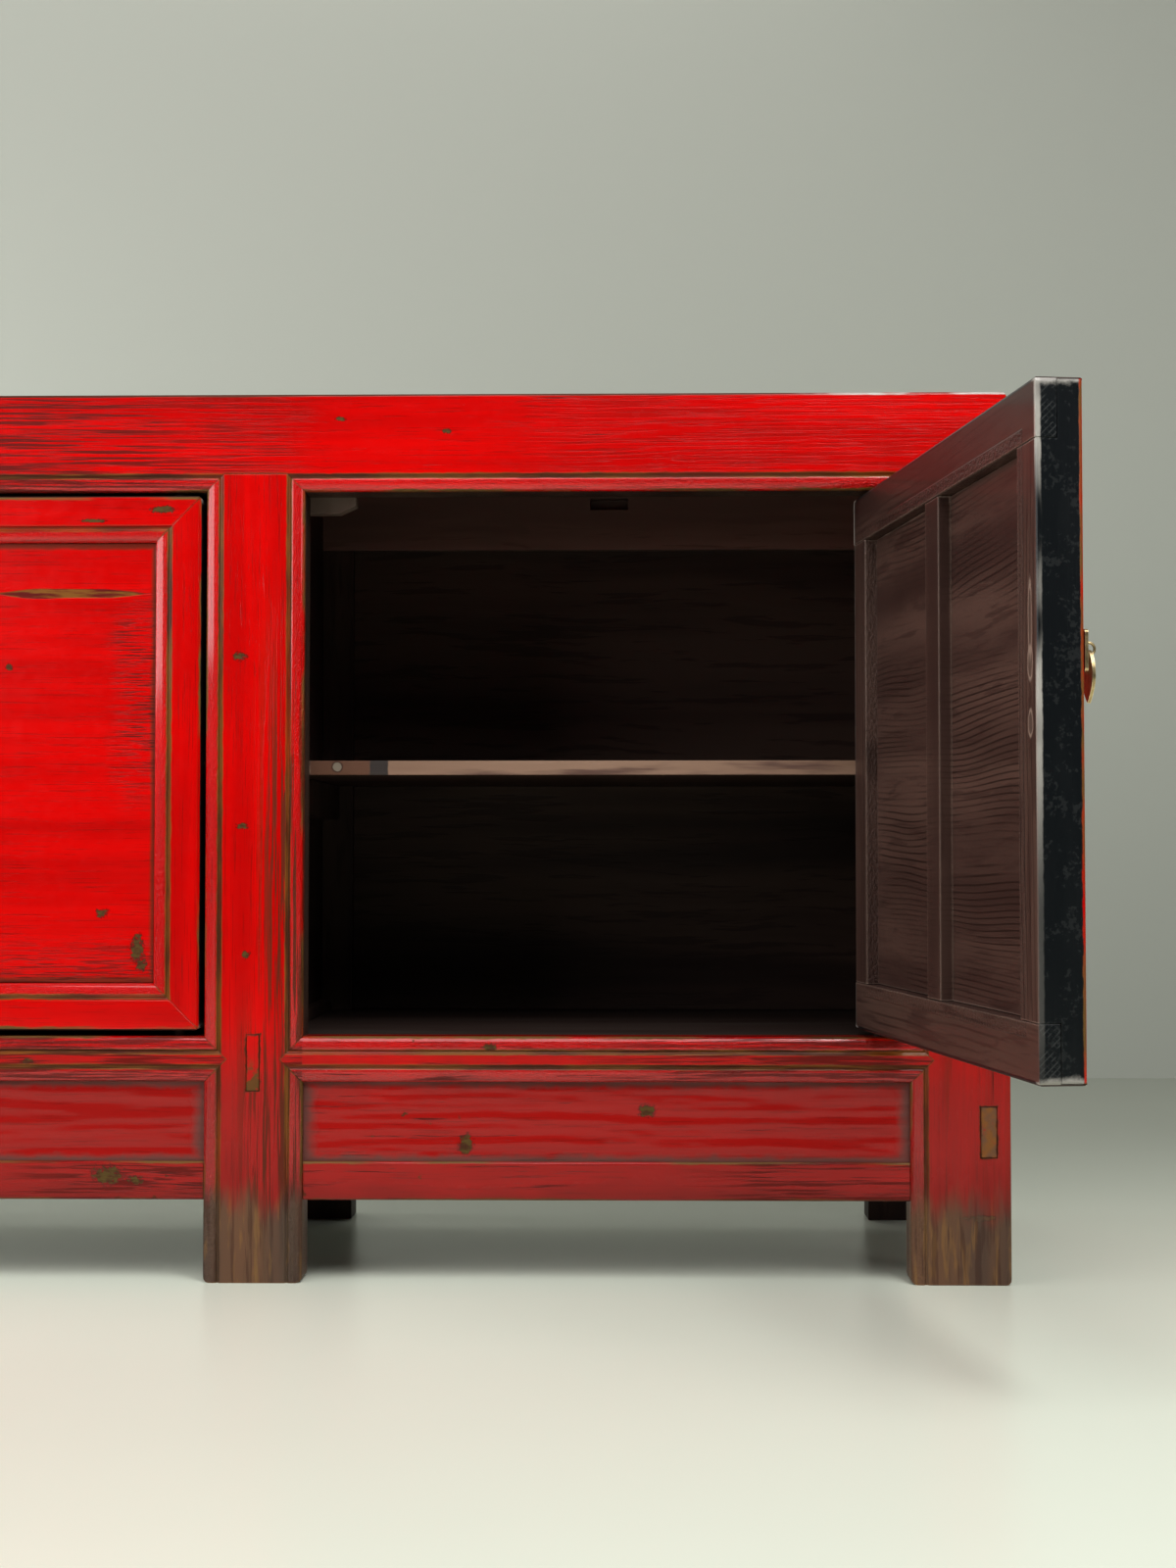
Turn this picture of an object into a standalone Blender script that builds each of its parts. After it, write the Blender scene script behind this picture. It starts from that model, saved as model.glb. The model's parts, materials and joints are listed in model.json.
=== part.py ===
"""Red lacquer sideboard of three bays, framed and panelled, with pivot-hung doors.

The cabinet is drawn in its own frame: X across, Y back from the front plane, Z up from the floor.
An empty then places that frame so that the origin lies under the middle of the whole piece as it
stands with its right door open. Units are metres.
"""
import math

import bmesh
import bpy
from mathutils import Matrix, Vector

# Cabinet
HEIGHT = 0.850
DEPTH = 0.431
OPENING_WIDTH = 0.5785
BAYS = ("left", "middle", "right")
LEG_NAMES = ("left_end", "left_middle", "right_middle", "right_end")
SEAT = 0.0003

# Frame members
LEG_WIDTH = 0.0946
FRONT_FRAME_DEPTH = 0.040
REAR_FRAME_DEPTH = 0.045
FOOT_HEIGHT = 0.0778
LOWER_RAIL_HEIGHT = 0.0366
LOWER_RAIL_SETBACK = 0.006
LOWER_RAIL_THICKNESS = 0.026
APRON_HEIGHT = 0.0759
APRON_SETBACK = 0.0095
APRON_THICKNESS = 0.011
BOTTOM_RAIL_HEIGHT = 0.0431
TOP_RAIL_HEIGHT = 0.0937
REAR_RAIL_DROP = 0.004
END_RAIL_WIDTH = 0.040
EDGE_ROUND = 0.0025
FOOT_ROUND = 0.006
TOP_END_ROUND = 0.006

# Moulding worked on the frame and door edges
MOULDING_WIDTH = 0.0168
BEAD_WIDTH = 0.0134
BEAD_CREST = 0.0100
BEAD_DROP = 0.0055
CREST_SINK = 0.0004
QUIRK_DEPTH = 0.0022
ARRIS_WIDTH = 0.0008

# Joinery
TONGUE = 0.007
TENON_WALL = 0.0048
TENON_THICKNESS = 0.012
TENON_SHOULDER = 0.006
LOWER_TENON_THICKNESS = 0.008
GROOVE_WALL = 0.002
LEG_TENON_WIDTH = 0.030
LEG_TENON_HEIGHT = 0.040
LEG_TENON_SETBACK = 0.016
END_TENON_WIDTH = 0.010
END_TENON_HEIGHT = 0.030
END_TENON_REACH = 0.010

# Top
TOP_PANEL_THICKNESS = 0.016
TOP_TONGUE_THICKNESS = 0.008
SLOT_WIDTH = 0.0416
SLOT_HEIGHT = 0.0123
SLOT_RISE = 0.046
SLOT_DEPTH = 0.018

# Sides, partitions and boards
SIDE_PANEL_SETBACK = 0.014
SIDE_PANEL_THICKNESS = 0.012
SIDE_RAIL_SETBACK = 0.006
SIDE_RAIL_THICKNESS = 0.030
SIDE_TENON_WIDTH = 0.015
SIDE_TENON_HEIGHT = 0.048
SIDE_TENON_RISE = 0.0056
PARTITION_THICKNESS = 0.025
PARTITION_FOOT = 0.057
PARTITION_TENON_WIDTH = 0.012
PARTITION_TENON_HEIGHT = 0.053
PARTITION_TENON_RISE = 0.0016
PARTITION_REAR_TENON = 0.020
BACK_PANEL_SETBACK = 0.012
BACK_PANEL_THICKNESS = 0.012
FLOOR_THICKNESS = 0.014
FLOOR_LAP = 0.008
FLOOR_LEDGE_WIDTH = 0.015
FLOOR_LEDGE_HEIGHT = 0.025
FLOOR_BATTEN_WIDTH = 0.012
FLOOR_BATTEN_HEIGHT = 0.0125
SHELF_THICKNESS = 0.014
SHELF_RISE = 0.2656
SHELF_SETBACK = 0.050
SHELF_BEARER_WIDTH = 0.020
SHELF_BEARER_HEIGHT = 0.038
BOARD_CLEARANCE = 0.0006
REAR_RAIL_BELOW_FLOOR = 0.053
REAR_RAIL_ABOVE_FLOOR = 0.012
REAR_RAIL_END_INSET = 0.030
STOP_LENGTH = 0.045
STOP_DEPTH = 0.017
STOP_DROP = 0.0155
STOP_RISE = 0.030
STOP_CHAMFER_LENGTH = 0.0165
STOP_CHAMFER_RISE = 0.0075

# Doors
DOOR_THICKNESS = 0.036
DOOR_SETBACK = 0.003
HINGE_GAP = 0.005
FREE_GAP = 0.006
DOOR_TOP_GAP = 0.0036
DOOR_BOTTOM_GAP = 0.0055
DOOR_FLAT = 0.0282
DOOR_LAP = 0.020
DOOR_CORNER_ROUND = 0.005
HINGE_EDGE_ROUND = 0.006
FREE_EDGE_ROUND = 0.004
BACK_EDGE_ROUND = 0.003
DOOR_PANEL_SINK = 0.0065
DOOR_PANEL_THICKNESS = 0.0185
DOOR_TONGUE_SINK = 0.0095
DOOR_TONGUE_THICKNESS = 0.008
BATTEN_WIDTH = 0.041
PIVOT_INSET = 0.022
PIVOT_RADIUS = 0.006
PIVOT_CLEARANCE = 0.0005
TOP_PIN_LENGTH = 0.012
BOTTOM_PIN_LENGTH = 0.010
LIFT_SPARE = 0.002
OPEN_ANGLE = math.radians(97.6)

# Pulls
PULL_INSET = 0.014
PULL_RISE = 0.0577
PLATE_WIDTH = 0.026
PLATE_HEIGHT = 0.031
PLATE_THICKNESS = 0.0025
PLATE_CORNER = 0.003
RING_RADIUS = 0.0046
RING_WIRE = 0.0011
RING_SINK = 0.0012
RING_RISE = 0.002
SHANK_RADIUS = 0.0015
SHANK_LENGTH = 0.022
SHANK_CLEARANCE = 0.0004
DROP_LENGTH = 0.039
DROP_WIDTH = 0.024
DROP_THICKNESS = 0.0024
DROP_TOP_BELOW_RING = 0.0006
DROP_EYE_RADIUS = 0.0020
DROP_BELLY = 0.0195
DROP_CROWN_HANDLE = 0.0054
DROP_UPPER_HANDLE = 0.0105
DROP_LOWER_HANDLE = 0.0086
DROP_TIP_SPREAD = 0.0030
DROP_TIP_RISE = 0.0023

# Fineness of round work
ROUND_STEPS = 3
BEAD_STEPS = 5
DROP_STEPS = 5
PIN_SIDES = 16
SHANK_SIDES = 8
EYE_SIDES = 14
RING_SIDES = 16
RING_WIRE_SIDES = 8

# Levels and lines that the sizes above fix
MARGIN = 0.004
EMBED = 0.005
WELD = SEAT / 30
OVERCUT = SEAT / 5
JOINT_CLEAR = 4 * SEAT
WIDTH = len(LEG_NAMES) * LEG_WIDTH + len(BAYS) * OPENING_WIDTH
PITCH = LEG_WIDTH + OPENING_WIDTH
TENON_LENGTH = (LEG_WIDTH - PARTITION_THICKNESS) / 2 - TENON_WALL
APRON_BOTTOM = FOOT_HEIGHT + LOWER_RAIL_HEIGHT
APRON_TOP = APRON_BOTTOM + APRON_HEIGHT
FLOOR_TOP = APRON_TOP + BOTTOM_RAIL_HEIGHT
OPENING_TOP = HEIGHT - TOP_RAIL_HEIGHT
MITRE_TOP = OPENING_TOP + MOULDING_WIDTH
MITRE_DEPTH = APRON_SETBACK - JOINT_CLEAR
RAIL_TENON_SETBACK = APRON_SETBACK + APRON_THICKNESS + GROOVE_WALL
REAR_FRONT = DEPTH - REAR_FRAME_DEPTH
REAR_SHOULDER = OPENING_TOP - REAR_RAIL_DROP
BACK_PANEL_FRONT = REAR_FRONT + BACK_PANEL_SETBACK
BACK_PANEL_BACK = BACK_PANEL_FRONT + BACK_PANEL_THICKNESS
REAR_RAIL_FRONT = BACK_PANEL_BACK + SEAT
FLOOR_BOTTOM = FLOOR_TOP - FLOOR_THICKNESS
RAIL_TENON_TOP = FLOOR_BOTTOM - JOINT_CLEAR
SHELF_TOP = FLOOR_TOP + SHELF_RISE
SHELF_BOTTOM = SHELF_TOP - SHELF_THICKNESS
TOP_PANEL_BOTTOM = HEIGHT - TOP_PANEL_THICKNESS
TOP_TONGUE_LOW = TOP_PANEL_BOTTOM + (TOP_PANEL_THICKNESS - TOP_TONGUE_THICKNESS) / 2
TOP_TONGUE_HIGH = TOP_TONGUE_LOW + TOP_TONGUE_THICKNESS
SIDE_PANEL_INNER = WIDTH / 2 - SIDE_PANEL_SETBACK - SIDE_PANEL_THICKNESS
PARTITION_BOTTOM = FLOOR_TOP - PARTITION_FOOT
PARTITION_TENON_TOP = FLOOR_TOP + PARTITION_TENON_RISE
PARTITION_TENON_BOTTOM = PARTITION_TENON_TOP - PARTITION_TENON_HEIGHT
DOOR_WIDTH = OPENING_WIDTH - HINGE_GAP - FREE_GAP
DOOR_TOP = OPENING_TOP - DOOR_TOP_GAP
DOOR_BOTTOM = FLOOR_TOP + DOOR_BOTTOM_GAP
DOOR_MEMBER = DOOR_FLAT + MOULDING_WIDTH
DOOR_BACK = DOOR_SETBACK + DOOR_THICKNESS
PIVOT_DEPTH = DOOR_SETBACK + DOOR_THICKNESS / 2
PLATE_FRONT = DOOR_SETBACK - SEAT - PLATE_THICKNESS
RING_DEPTH = PLATE_FRONT + RING_SINK - RING_RADIUS - RING_WIRE
PULL_HEIGHT = (DOOR_TOP + DOOR_BOTTOM) / 2 + PULL_RISE
RING_HEIGHT = PULL_HEIGHT + RING_RISE
SWING = DOOR_WIDTH - PIVOT_INSET
OPEN_REACH = SWING * math.sin(OPEN_ANGLE) + DOOR_THICKNESS / 2 * abs(math.cos(OPEN_ANGLE)) - PIVOT_DEPTH
FRONT_Y = (OPEN_REACH - DEPTH) / 2

# Colour, roughness and metallic value of each finish
FINISHES = {
    "red_lacquer": ((0.52, 0.008, 0.006), 0.28, 0.0),
    "dark_wood": ((0.055, 0.028, 0.020), 0.55, 0.0),
    "aged_brass": ((0.42, 0.30, 0.14), 0.32, 1.0),
}

AXES = {
    "X": Matrix(((0, 0, 1, 0), (1, 0, 0, 0), (0, 1, 0, 0), (0, 0, 0, 1))),
    "Y": Matrix(((1, 0, 0, 0), (0, 0, -1, 0), (0, 1, 0, 0), (0, 0, 0, 1))),
    "Z": Matrix.Identity(4),
}

for old in list(bpy.data.objects):
    bpy.data.objects.remove(old, do_unlink=True)


def new_collection(name):
    collection = bpy.data.collections.new(name)
    bpy.context.scene.collection.children.link(collection)
    return collection


PARTS = new_collection("lacquer_sideboard")
CUTTERS = new_collection("cutters")


def material_for(name, finish):
    """A Principled material of its own for one piece."""
    colour, roughness, metallic = FINISHES[finish]
    material = bpy.data.materials.new(name)
    material.use_nodes = True
    shader = material.node_tree.nodes["Principled BSDF"]
    shader.inputs["Base Color"].default_value = (*colour, 1.0)
    shader.inputs["Roughness"].default_value = roughness
    shader.inputs["Metallic"].default_value = metallic
    return material


def object_from(bm, name, collection):
    mesh = bpy.data.meshes.new(name)
    bm.to_mesh(mesh)
    bm.free()
    made = bpy.data.objects.new(name, mesh)
    collection.objects.link(made)
    return made


def box(name, low, high, collection=PARTS):
    """A box between two corners."""
    low, high = Vector(low), Vector(high)
    bm = bmesh.new()
    place = Matrix.Translation((low + high) / 2) @ Matrix.Diagonal((*(high - low), 1))
    bmesh.ops.create_cube(bm, size=1.0, matrix=place)
    return object_from(bm, name, collection)


def peg(name, centre, radius, low, high, sides, axis="Z", collection=CUTTERS):
    """A round peg between two places along an axis through a centre."""
    bm = bmesh.new()
    middle = Matrix.Translation((0, 0, (low + high) / 2))
    bmesh.ops.create_cone(bm, cap_ends=True, segments=sides, radius1=radius, radius2=radius,
                          depth=high - low, matrix=middle)
    bmesh.ops.transform(bm, matrix=Matrix.Translation(centre) @ AXES[axis], verts=bm.verts)
    return object_from(bm, name, collection)


def curve_object(name, axis, start, stop):
    """An empty flat curve, filled and as thick as the stretch from start to stop along an axis."""
    curve = bpy.data.curves.new(name, "CURVE")
    curve.dimensions = "2D"
    curve.fill_mode = "BOTH"
    curve.extrude = (stop - start) / 2
    made = bpy.data.objects.new(name, curve)
    bpy.context.scene.collection.objects.link(made)
    sign = -1 if axis == "Y" else 1
    made.matrix_world = AXES[axis] @ Matrix.Translation((0, 0, sign * (start + stop) / 2))
    return made


def solid_from(curve, collection):
    """Turn a filled curve into a closed mesh in the same place."""
    bpy.context.view_layer.update()
    evaluated = curve.evaluated_get(bpy.context.evaluated_depsgraph_get())
    mesh = bpy.data.meshes.new_from_object(evaluated)
    bm = bmesh.new()
    bm.from_mesh(mesh)
    bmesh.ops.remove_doubles(bm, verts=bm.verts, dist=WELD)
    bmesh.ops.recalc_face_normals(bm, faces=bm.faces)
    bm.to_mesh(mesh)
    bm.free()
    name = curve.name
    place = curve.matrix_world.copy()
    bpy.data.objects.remove(curve, do_unlink=True)
    mesh.name = name
    made = bpy.data.objects.new(name, mesh)
    made.matrix_world = place
    collection.objects.link(made)
    return made


def bar(name, outline, start, stop, axis, collection=PARTS):
    """Run a flat outline along an axis: (y, z) points for X, (x, z) for Y and (x, y) for Z."""
    curve = curve_object(name, axis, start, stop)
    spline = curve.data.splines.new("POLY")
    spline.points.add(len(outline) - 1)
    for point, (u, v) in zip(spline.points, outline):
        point.co = (u, v, 0, 1)
    spline.use_cyclic_u = True
    return solid_from(curve, collection)


def shape(target, tool, operation):
    """Cut a piece with a tool, or join the tool to it."""
    tool.hide_render = True
    tool.display_type = "WIRE"
    modifier = target.modifiers.new(tool.name, "BOOLEAN")
    modifier.operation = operation
    modifier.solver = "EXACT"
    modifier.object = tool


def pocket(target, low, high):
    """Cut a square-sided mortise, groove or rebate, with the seat gap all round."""
    gap = Vector((SEAT, SEAT, SEAT))
    tool = box(target.name + "_cut", Vector(low) - gap, Vector(high) + gap, CUTTERS)
    shape(target, tool, "DIFFERENCE")


def waste(target, low, high):
    """Saw off everything inside a box."""
    shape(target, box(target.name + "_waste", low, high, CUTTERS), "DIFFERENCE")


def chop(target, outline, start, stop, axis):
    """Saw off everything inside an outline run along an axis."""
    shape(target, bar(target.name + "_chop", outline, start, stop, axis, CUTTERS), "DIFFERENCE")


def tenon(target, low, high):
    """Join a square tenon, ledge or block to a piece."""
    shape(target, box(target.name + "_tenon", low, high, CUTTERS), "UNION")


def finish(piece, name):
    piece.data.materials.append(material_for(piece.name, name))
    return piece


def arc(centre, radius_u, radius_v, start, stop, steps):
    """Points along part of an ellipse; angles are in degrees."""
    points = []
    for step in range(steps + 1):
        angle = math.radians(start + (stop - start) * step / steps)
        points.append((centre[0] + radius_u * math.cos(angle), centre[1] + radius_v * math.sin(angle)))
    return points


def moulding():
    """The moulding as (distance from the edge, depth), from the edge to the flat of the member."""
    fall = arc((BEAD_CREST, BEAD_DROP), BEAD_CREST, BEAD_DROP - CREST_SINK, 180, 270, BEAD_STEPS)
    turn = arc((BEAD_CREST, QUIRK_DEPTH), BEAD_WIDTH - BEAD_CREST, QUIRK_DEPTH - CREST_SINK,
               270, 360, ROUND_STEPS)
    quirk_end = MOULDING_WIDTH - 2 * ARRIS_WIDTH
    arris = [(quirk_end, QUIRK_DEPTH), (MOULDING_WIDTH - ARRIS_WIDTH, ARRIS_WIDTH / 2), (MOULDING_WIDTH, 0)]
    return fall + turn[1:] + arris


def rounded(radius):
    """A plain rounded edge as (distance from the edge, depth), from the side to the front."""
    return arc((radius, radius), radius, radius, 180, 270, ROUND_STEPS)


def corner_waste(corner_u, corner_v, inward_u, inward_v, radius):
    """Outline of the wood outside a rounded corner."""
    reach = radius + OVERCUT
    curve = [(corner_u + inward_u * u, corner_v + inward_v * v)
             for u, v in arc((radius, radius), reach, reach, 180, 270, ROUND_STEPS)]
    outer = (corner_u - inward_u * MARGIN, corner_v - inward_v * MARGIN)
    return [(outer[0], curve[0][1])] + curve + [(curve[-1][0], outer[1]), outer]


def round_top_end(rail, side):
    """Round the upper edge at one end of the top."""
    outline = corner_waste(side * WIDTH / 2, HEIGHT, -side, -1, TOP_END_ROUND)
    chop(rail, outline, -MARGIN, DEPTH + MARGIN, "Y")


def leg_span(index):
    left = -WIDTH / 2 + index * PITCH
    return left, left + LEG_WIDTH


def bay_span(index):
    left = -WIDTH / 2 + LEG_WIDTH + index * PITCH
    return left, left + OPENING_WIDTH


# Front legs
def front_leg(index):
    """A plank leg whose moulded front edges meet the rails in mitres, with a tenon for the top rail."""
    left, right = leg_span(index)
    middle = (left + right) / 2
    first = index == 0
    last = index == len(LEG_NAMES) - 1
    left_edge = rounded(EDGE_ROUND) if first else moulding()
    right_edge = rounded(EDGE_ROUND) if last else moulding()
    outline = [(left + across, back) for across, back in left_edge]
    outline += [(right - across, back) for across, back in reversed(right_edge)]
    outline += [(right, FRONT_FRAME_DEPTH), (left, FRONT_FRAME_DEPTH)]
    leg = bar("front_leg_" + LEG_NAMES[index], outline, 0, MITRE_TOP, "Z")
    waste(leg, (left - MARGIN, MITRE_DEPTH, OPENING_TOP - SEAT),
          (right + MARGIN, FRONT_FRAME_DEPTH + MARGIN, MITRE_TOP + MARGIN))
    if not first:
        shoulder_mitre(leg, left, 1)
        rail_seats(leg, left, 1)
    if not last:
        shoulder_mitre(leg, right, -1)
        rail_seats(leg, right, -1)
    if first or last:
        side_seats(leg, -1 if first else 1, FRONT_FRAME_DEPTH - TONGUE, FRONT_FRAME_DEPTH + MARGIN)
        pocket(leg, *side_tenon_box(-1 if first else 1, -MARGIN, FRONT_FRAME_DEPTH + MARGIN))
    else:
        partition_seat(leg, middle, FRONT_FRAME_DEPTH - TONGUE, FRONT_FRAME_DEPTH + MARGIN)
        pocket(leg, (middle - PARTITION_TENON_WIDTH / 2, -MARGIN, PARTITION_TENON_BOTTOM),
               (middle + PARTITION_TENON_WIDTH / 2, FRONT_FRAME_DEPTH + MARGIN, PARTITION_TENON_TOP))
    for edge, inward in ((left, 1), (right, -1)):
        chop(leg, corner_waste(edge, 0, inward, 1, FOOT_ROUND), -MARGIN, FRONT_FRAME_DEPTH + MARGIN, "Y")
    tenon(leg, *leg_tenon_box(index, LEG_TENON_SETBACK, OPENING_TOP))
    return finish(leg, "red_lacquer")


def shoulder_mitre(leg, edge, inward):
    """Mitre the moulding at the top of a leg where it meets the moulding of the top rail."""
    outline = [(edge - inward * MARGIN, OPENING_TOP - MARGIN),
               (edge + inward * (MOULDING_WIDTH + MARGIN), MITRE_TOP + MARGIN),
               (edge - inward * MARGIN, MITRE_TOP + MARGIN)]
    chop(leg, outline, -MARGIN, MITRE_DEPTH + MARGIN, "Y")


def rail_seats(leg, edge, inward):
    """Pointed notch, mortises and groove for the rails and apron that meet one side of a leg."""
    middle = (APRON_TOP + FLOOR_TOP) / 2
    point = BOTTOM_RAIL_HEIGHT / 2 + math.sqrt(2) * SEAT
    mouth = point + MARGIN
    outline = [(edge + inward * point, middle), (edge - inward * MARGIN, middle + mouth),
               (edge - inward * MARGIN, middle - mouth)]
    chop(leg, outline, -MARGIN, MITRE_DEPTH + SEAT, "Y")
    for seat in (rail_tenon_box, lower_tenon_box, apron_tongue_box):
        pocket(leg, *seat(edge, inward))


def span_box(edge, inward, outside, inside, depth_low, depth_high, low, high):
    """A box that reaches from outside an edge of a leg to inside it."""
    ends = sorted((edge - inward * outside, edge + inward * inside))
    return (ends[0], depth_low, low), (ends[1], depth_high, high)


def rail_tenon_box(edge, inward):
    return span_box(edge, inward, EMBED, TENON_LENGTH, RAIL_TENON_SETBACK,
                    RAIL_TENON_SETBACK + TENON_THICKNESS, APRON_TOP + TENON_SHOULDER, RAIL_TENON_TOP)


def lower_tenon_box(edge, inward):
    return span_box(edge, inward, EMBED, TENON_LENGTH, RAIL_TENON_SETBACK,
                    RAIL_TENON_SETBACK + LOWER_TENON_THICKNESS,
                    FOOT_HEIGHT + TENON_SHOULDER, APRON_BOTTOM - TENON_SHOULDER)


def apron_tongue_box(edge, inward):
    return span_box(edge, inward, EMBED, TONGUE, APRON_SETBACK, APRON_SETBACK + APRON_THICKNESS,
                    APRON_BOTTOM - TONGUE, APRON_TOP + TONGUE)


def leg_tenon_box(index, setback, shoulder):
    """The tenon on top of a leg; on an end leg it keeps clear of the corner mitre of the top."""
    left, right = leg_span(index)
    middle = (left + right) / 2
    if index == 0:
        middle = right - TENON_LENGTH
    if index == len(LEG_NAMES) - 1:
        middle = left + TENON_LENGTH
    return ((middle - LEG_TENON_WIDTH / 2, setback, shoulder - 2 * EMBED),
            (middle + LEG_TENON_WIDTH / 2, setback + TENON_THICKNESS, shoulder + LEG_TENON_HEIGHT))


def side_seats(leg, side, depth_low, depth_high):
    """Groove for the side panel in an end leg."""
    low, high = side_panel_box(side)
    pocket(leg, (low[0], depth_low, low[2]), (high[0], depth_high, OPENING_TOP + MARGIN))


def side_panel_box(side):
    ends = sorted((side * SIDE_PANEL_INNER, side * (WIDTH / 2 - SIDE_PANEL_SETBACK)))
    return ((ends[0], FRONT_FRAME_DEPTH - TONGUE, APRON_TOP - TONGUE),
            (ends[1], REAR_FRONT + TONGUE, OPENING_TOP + TONGUE))


def side_tenon_box(side, depth_low, depth_high):
    middle = WIDTH / 2 - SIDE_RAIL_SETBACK - SIDE_RAIL_THICKNESS / 2
    ends = sorted((side * (middle - SIDE_TENON_WIDTH / 2), side * (middle + SIDE_TENON_WIDTH / 2)))
    low = APRON_BOTTOM + SIDE_TENON_RISE
    return (ends[0], depth_low, low), (ends[1], depth_high, low + SIDE_TENON_HEIGHT)


def partition_seat(leg, middle, depth_low, depth_high):
    """Groove for a partition in a middle leg."""
    pocket(leg, (middle - PARTITION_THICKNESS / 2, depth_low, PARTITION_BOTTOM),
           (middle + PARTITION_THICKNESS / 2, depth_high, MITRE_TOP + MARGIN))


# Rear legs
def rear_leg(index):
    """A plain plank leg, notched at the back for the long rear rail."""
    left, right = leg_span(index)
    middle = (left + right) / 2
    first = index == 0
    last = index == len(LEG_NAMES) - 1
    leg = box("rear_leg_" + LEG_NAMES[index], (left, REAR_FRONT, 0), (right, DEPTH, REAR_SHOULDER - SEAT))
    groove_depth = (BACK_PANEL_FRONT, BACK_PANEL_BACK)
    groove_low = FLOOR_BOTTOM - MARGIN
    if not first:
        pocket(leg, (left - MARGIN, groove_depth[0], groove_low),
               (left + TONGUE, groove_depth[1], OPENING_TOP + MARGIN))
    if not last:
        pocket(leg, (right - TONGUE, groove_depth[0], groove_low),
               (right + MARGIN, groove_depth[1], OPENING_TOP + MARGIN))
    if first or last:
        side = -1 if first else 1
        side_seats(leg, side, REAR_FRONT - MARGIN, REAR_FRONT + TONGUE)
        pocket(leg, *side_tenon_box(side, REAR_FRONT - MARGIN, REAR_FRONT + TENON_LENGTH))
    else:
        partition_seat(leg, middle, REAR_FRONT - MARGIN, REAR_FRONT + TONGUE)
        pocket(leg, (middle - PARTITION_TENON_WIDTH / 2, REAR_FRONT - MARGIN, PARTITION_TENON_BOTTOM),
               (middle + PARTITION_TENON_WIDTH / 2, REAR_FRONT + PARTITION_REAR_TENON, PARTITION_TENON_TOP))
    low, high = rear_rail_box()
    pocket(leg, low, (high[0], high[1] + MARGIN, high[2]))
    tenon(leg, *leg_tenon_box(index, REAR_FRONT + LEG_TENON_SETBACK, REAR_SHOULDER))
    return finish(leg, "dark_wood")


def rear_rail_box():
    end = WIDTH / 2 - REAR_RAIL_END_INSET
    return ((-end, REAR_RAIL_FRONT, FLOOR_TOP - REAR_RAIL_BELOW_FLOOR),
            (end, DEPTH, FLOOR_TOP + REAR_RAIL_ABOVE_FLOOR))


def rear_rail():
    """One long rail let into the backs of the rear legs; the floor boards lap onto it."""
    low, high = rear_rail_box()
    rail = box("rear_rail", low, high)
    pocket(rail, (low[0] - MARGIN, low[1] - MARGIN, FLOOR_BOTTOM),
           (high[0] + MARGIN, low[1] + FLOOR_LAP, FLOOR_TOP))
    return finish(rail, "dark_wood")


# Top frame and panel
def corner_lines():
    """Inner ends of the front and rear corner mitres, seen from above at the right end."""
    inner = WIDTH / 2 - END_RAIL_WIDTH
    return ((WIDTH / 2, 0), (inner, FRONT_FRAME_DEPTH)), ((WIDTH / 2, DEPTH), (inner, REAR_FRONT))


def cut_corner(rail, corner, low):
    """Mitre both ends of a long top rail along a corner line."""
    start, stop = Vector(corner[0]), Vector(corner[1])
    run = (stop - start).normalized() * MARGIN
    start, stop = start - run, stop + run
    beyond = WIDTH / 2 + 2 * MARGIN
    outline = [tuple(start), tuple(stop), (beyond, stop.y), (beyond, start.y)]
    for side in (-1, 1):
        chop(rail, [(side * x, y) for x, y in outline], low - MARGIN, HEIGHT + MARGIN, "Z")


def end_tenon_box(side, tip, root):
    """Tenon of an end rail, from its tip in a long rail to its root in the end rail."""
    middle = WIDTH / 2 - END_RAIL_WIDTH / 2
    ends = sorted((side * (middle - END_TENON_WIDTH / 2), side * (middle + END_TENON_WIDTH / 2)))
    depths = sorted((tip, root))
    centre = (OPENING_TOP + HEIGHT) / 2
    half = END_TENON_HEIGHT / 2
    return (ends[0], depths[0], centre - half), (ends[1], depths[1], centre + half)


def front_end_tenon(side):
    return end_tenon_box(side, FRONT_FRAME_DEPTH / 2 - END_TENON_REACH, FRONT_FRAME_DEPTH + EMBED)


def rear_end_tenon(side):
    middle = (REAR_FRONT + DEPTH) / 2
    return end_tenon_box(side, middle + END_TENON_REACH, REAR_FRONT - EMBED)


def pivot_place(index):
    """Side that a door is hung on (1 right, -1 left) and the place of its pivot."""
    left, right = bay_span(index)
    hand = -1 if index == 0 else 1
    edge = right if hand == 1 else left
    return hand, Vector((edge - hand * (HINGE_GAP + PIVOT_INSET), PIVOT_DEPTH, 0))


def socket(rail, index, low, high, spare):
    """Bore for a door's pivot pin."""
    place = pivot_place(index)[1]
    bore = peg(rail.name + "_socket", (place.x, place.y, 0), PIVOT_RADIUS + PIVOT_CLEARANCE,
               low, high + spare, PIN_SIDES)
    shape(rail, bore, "DIFFERENCE")


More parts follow.
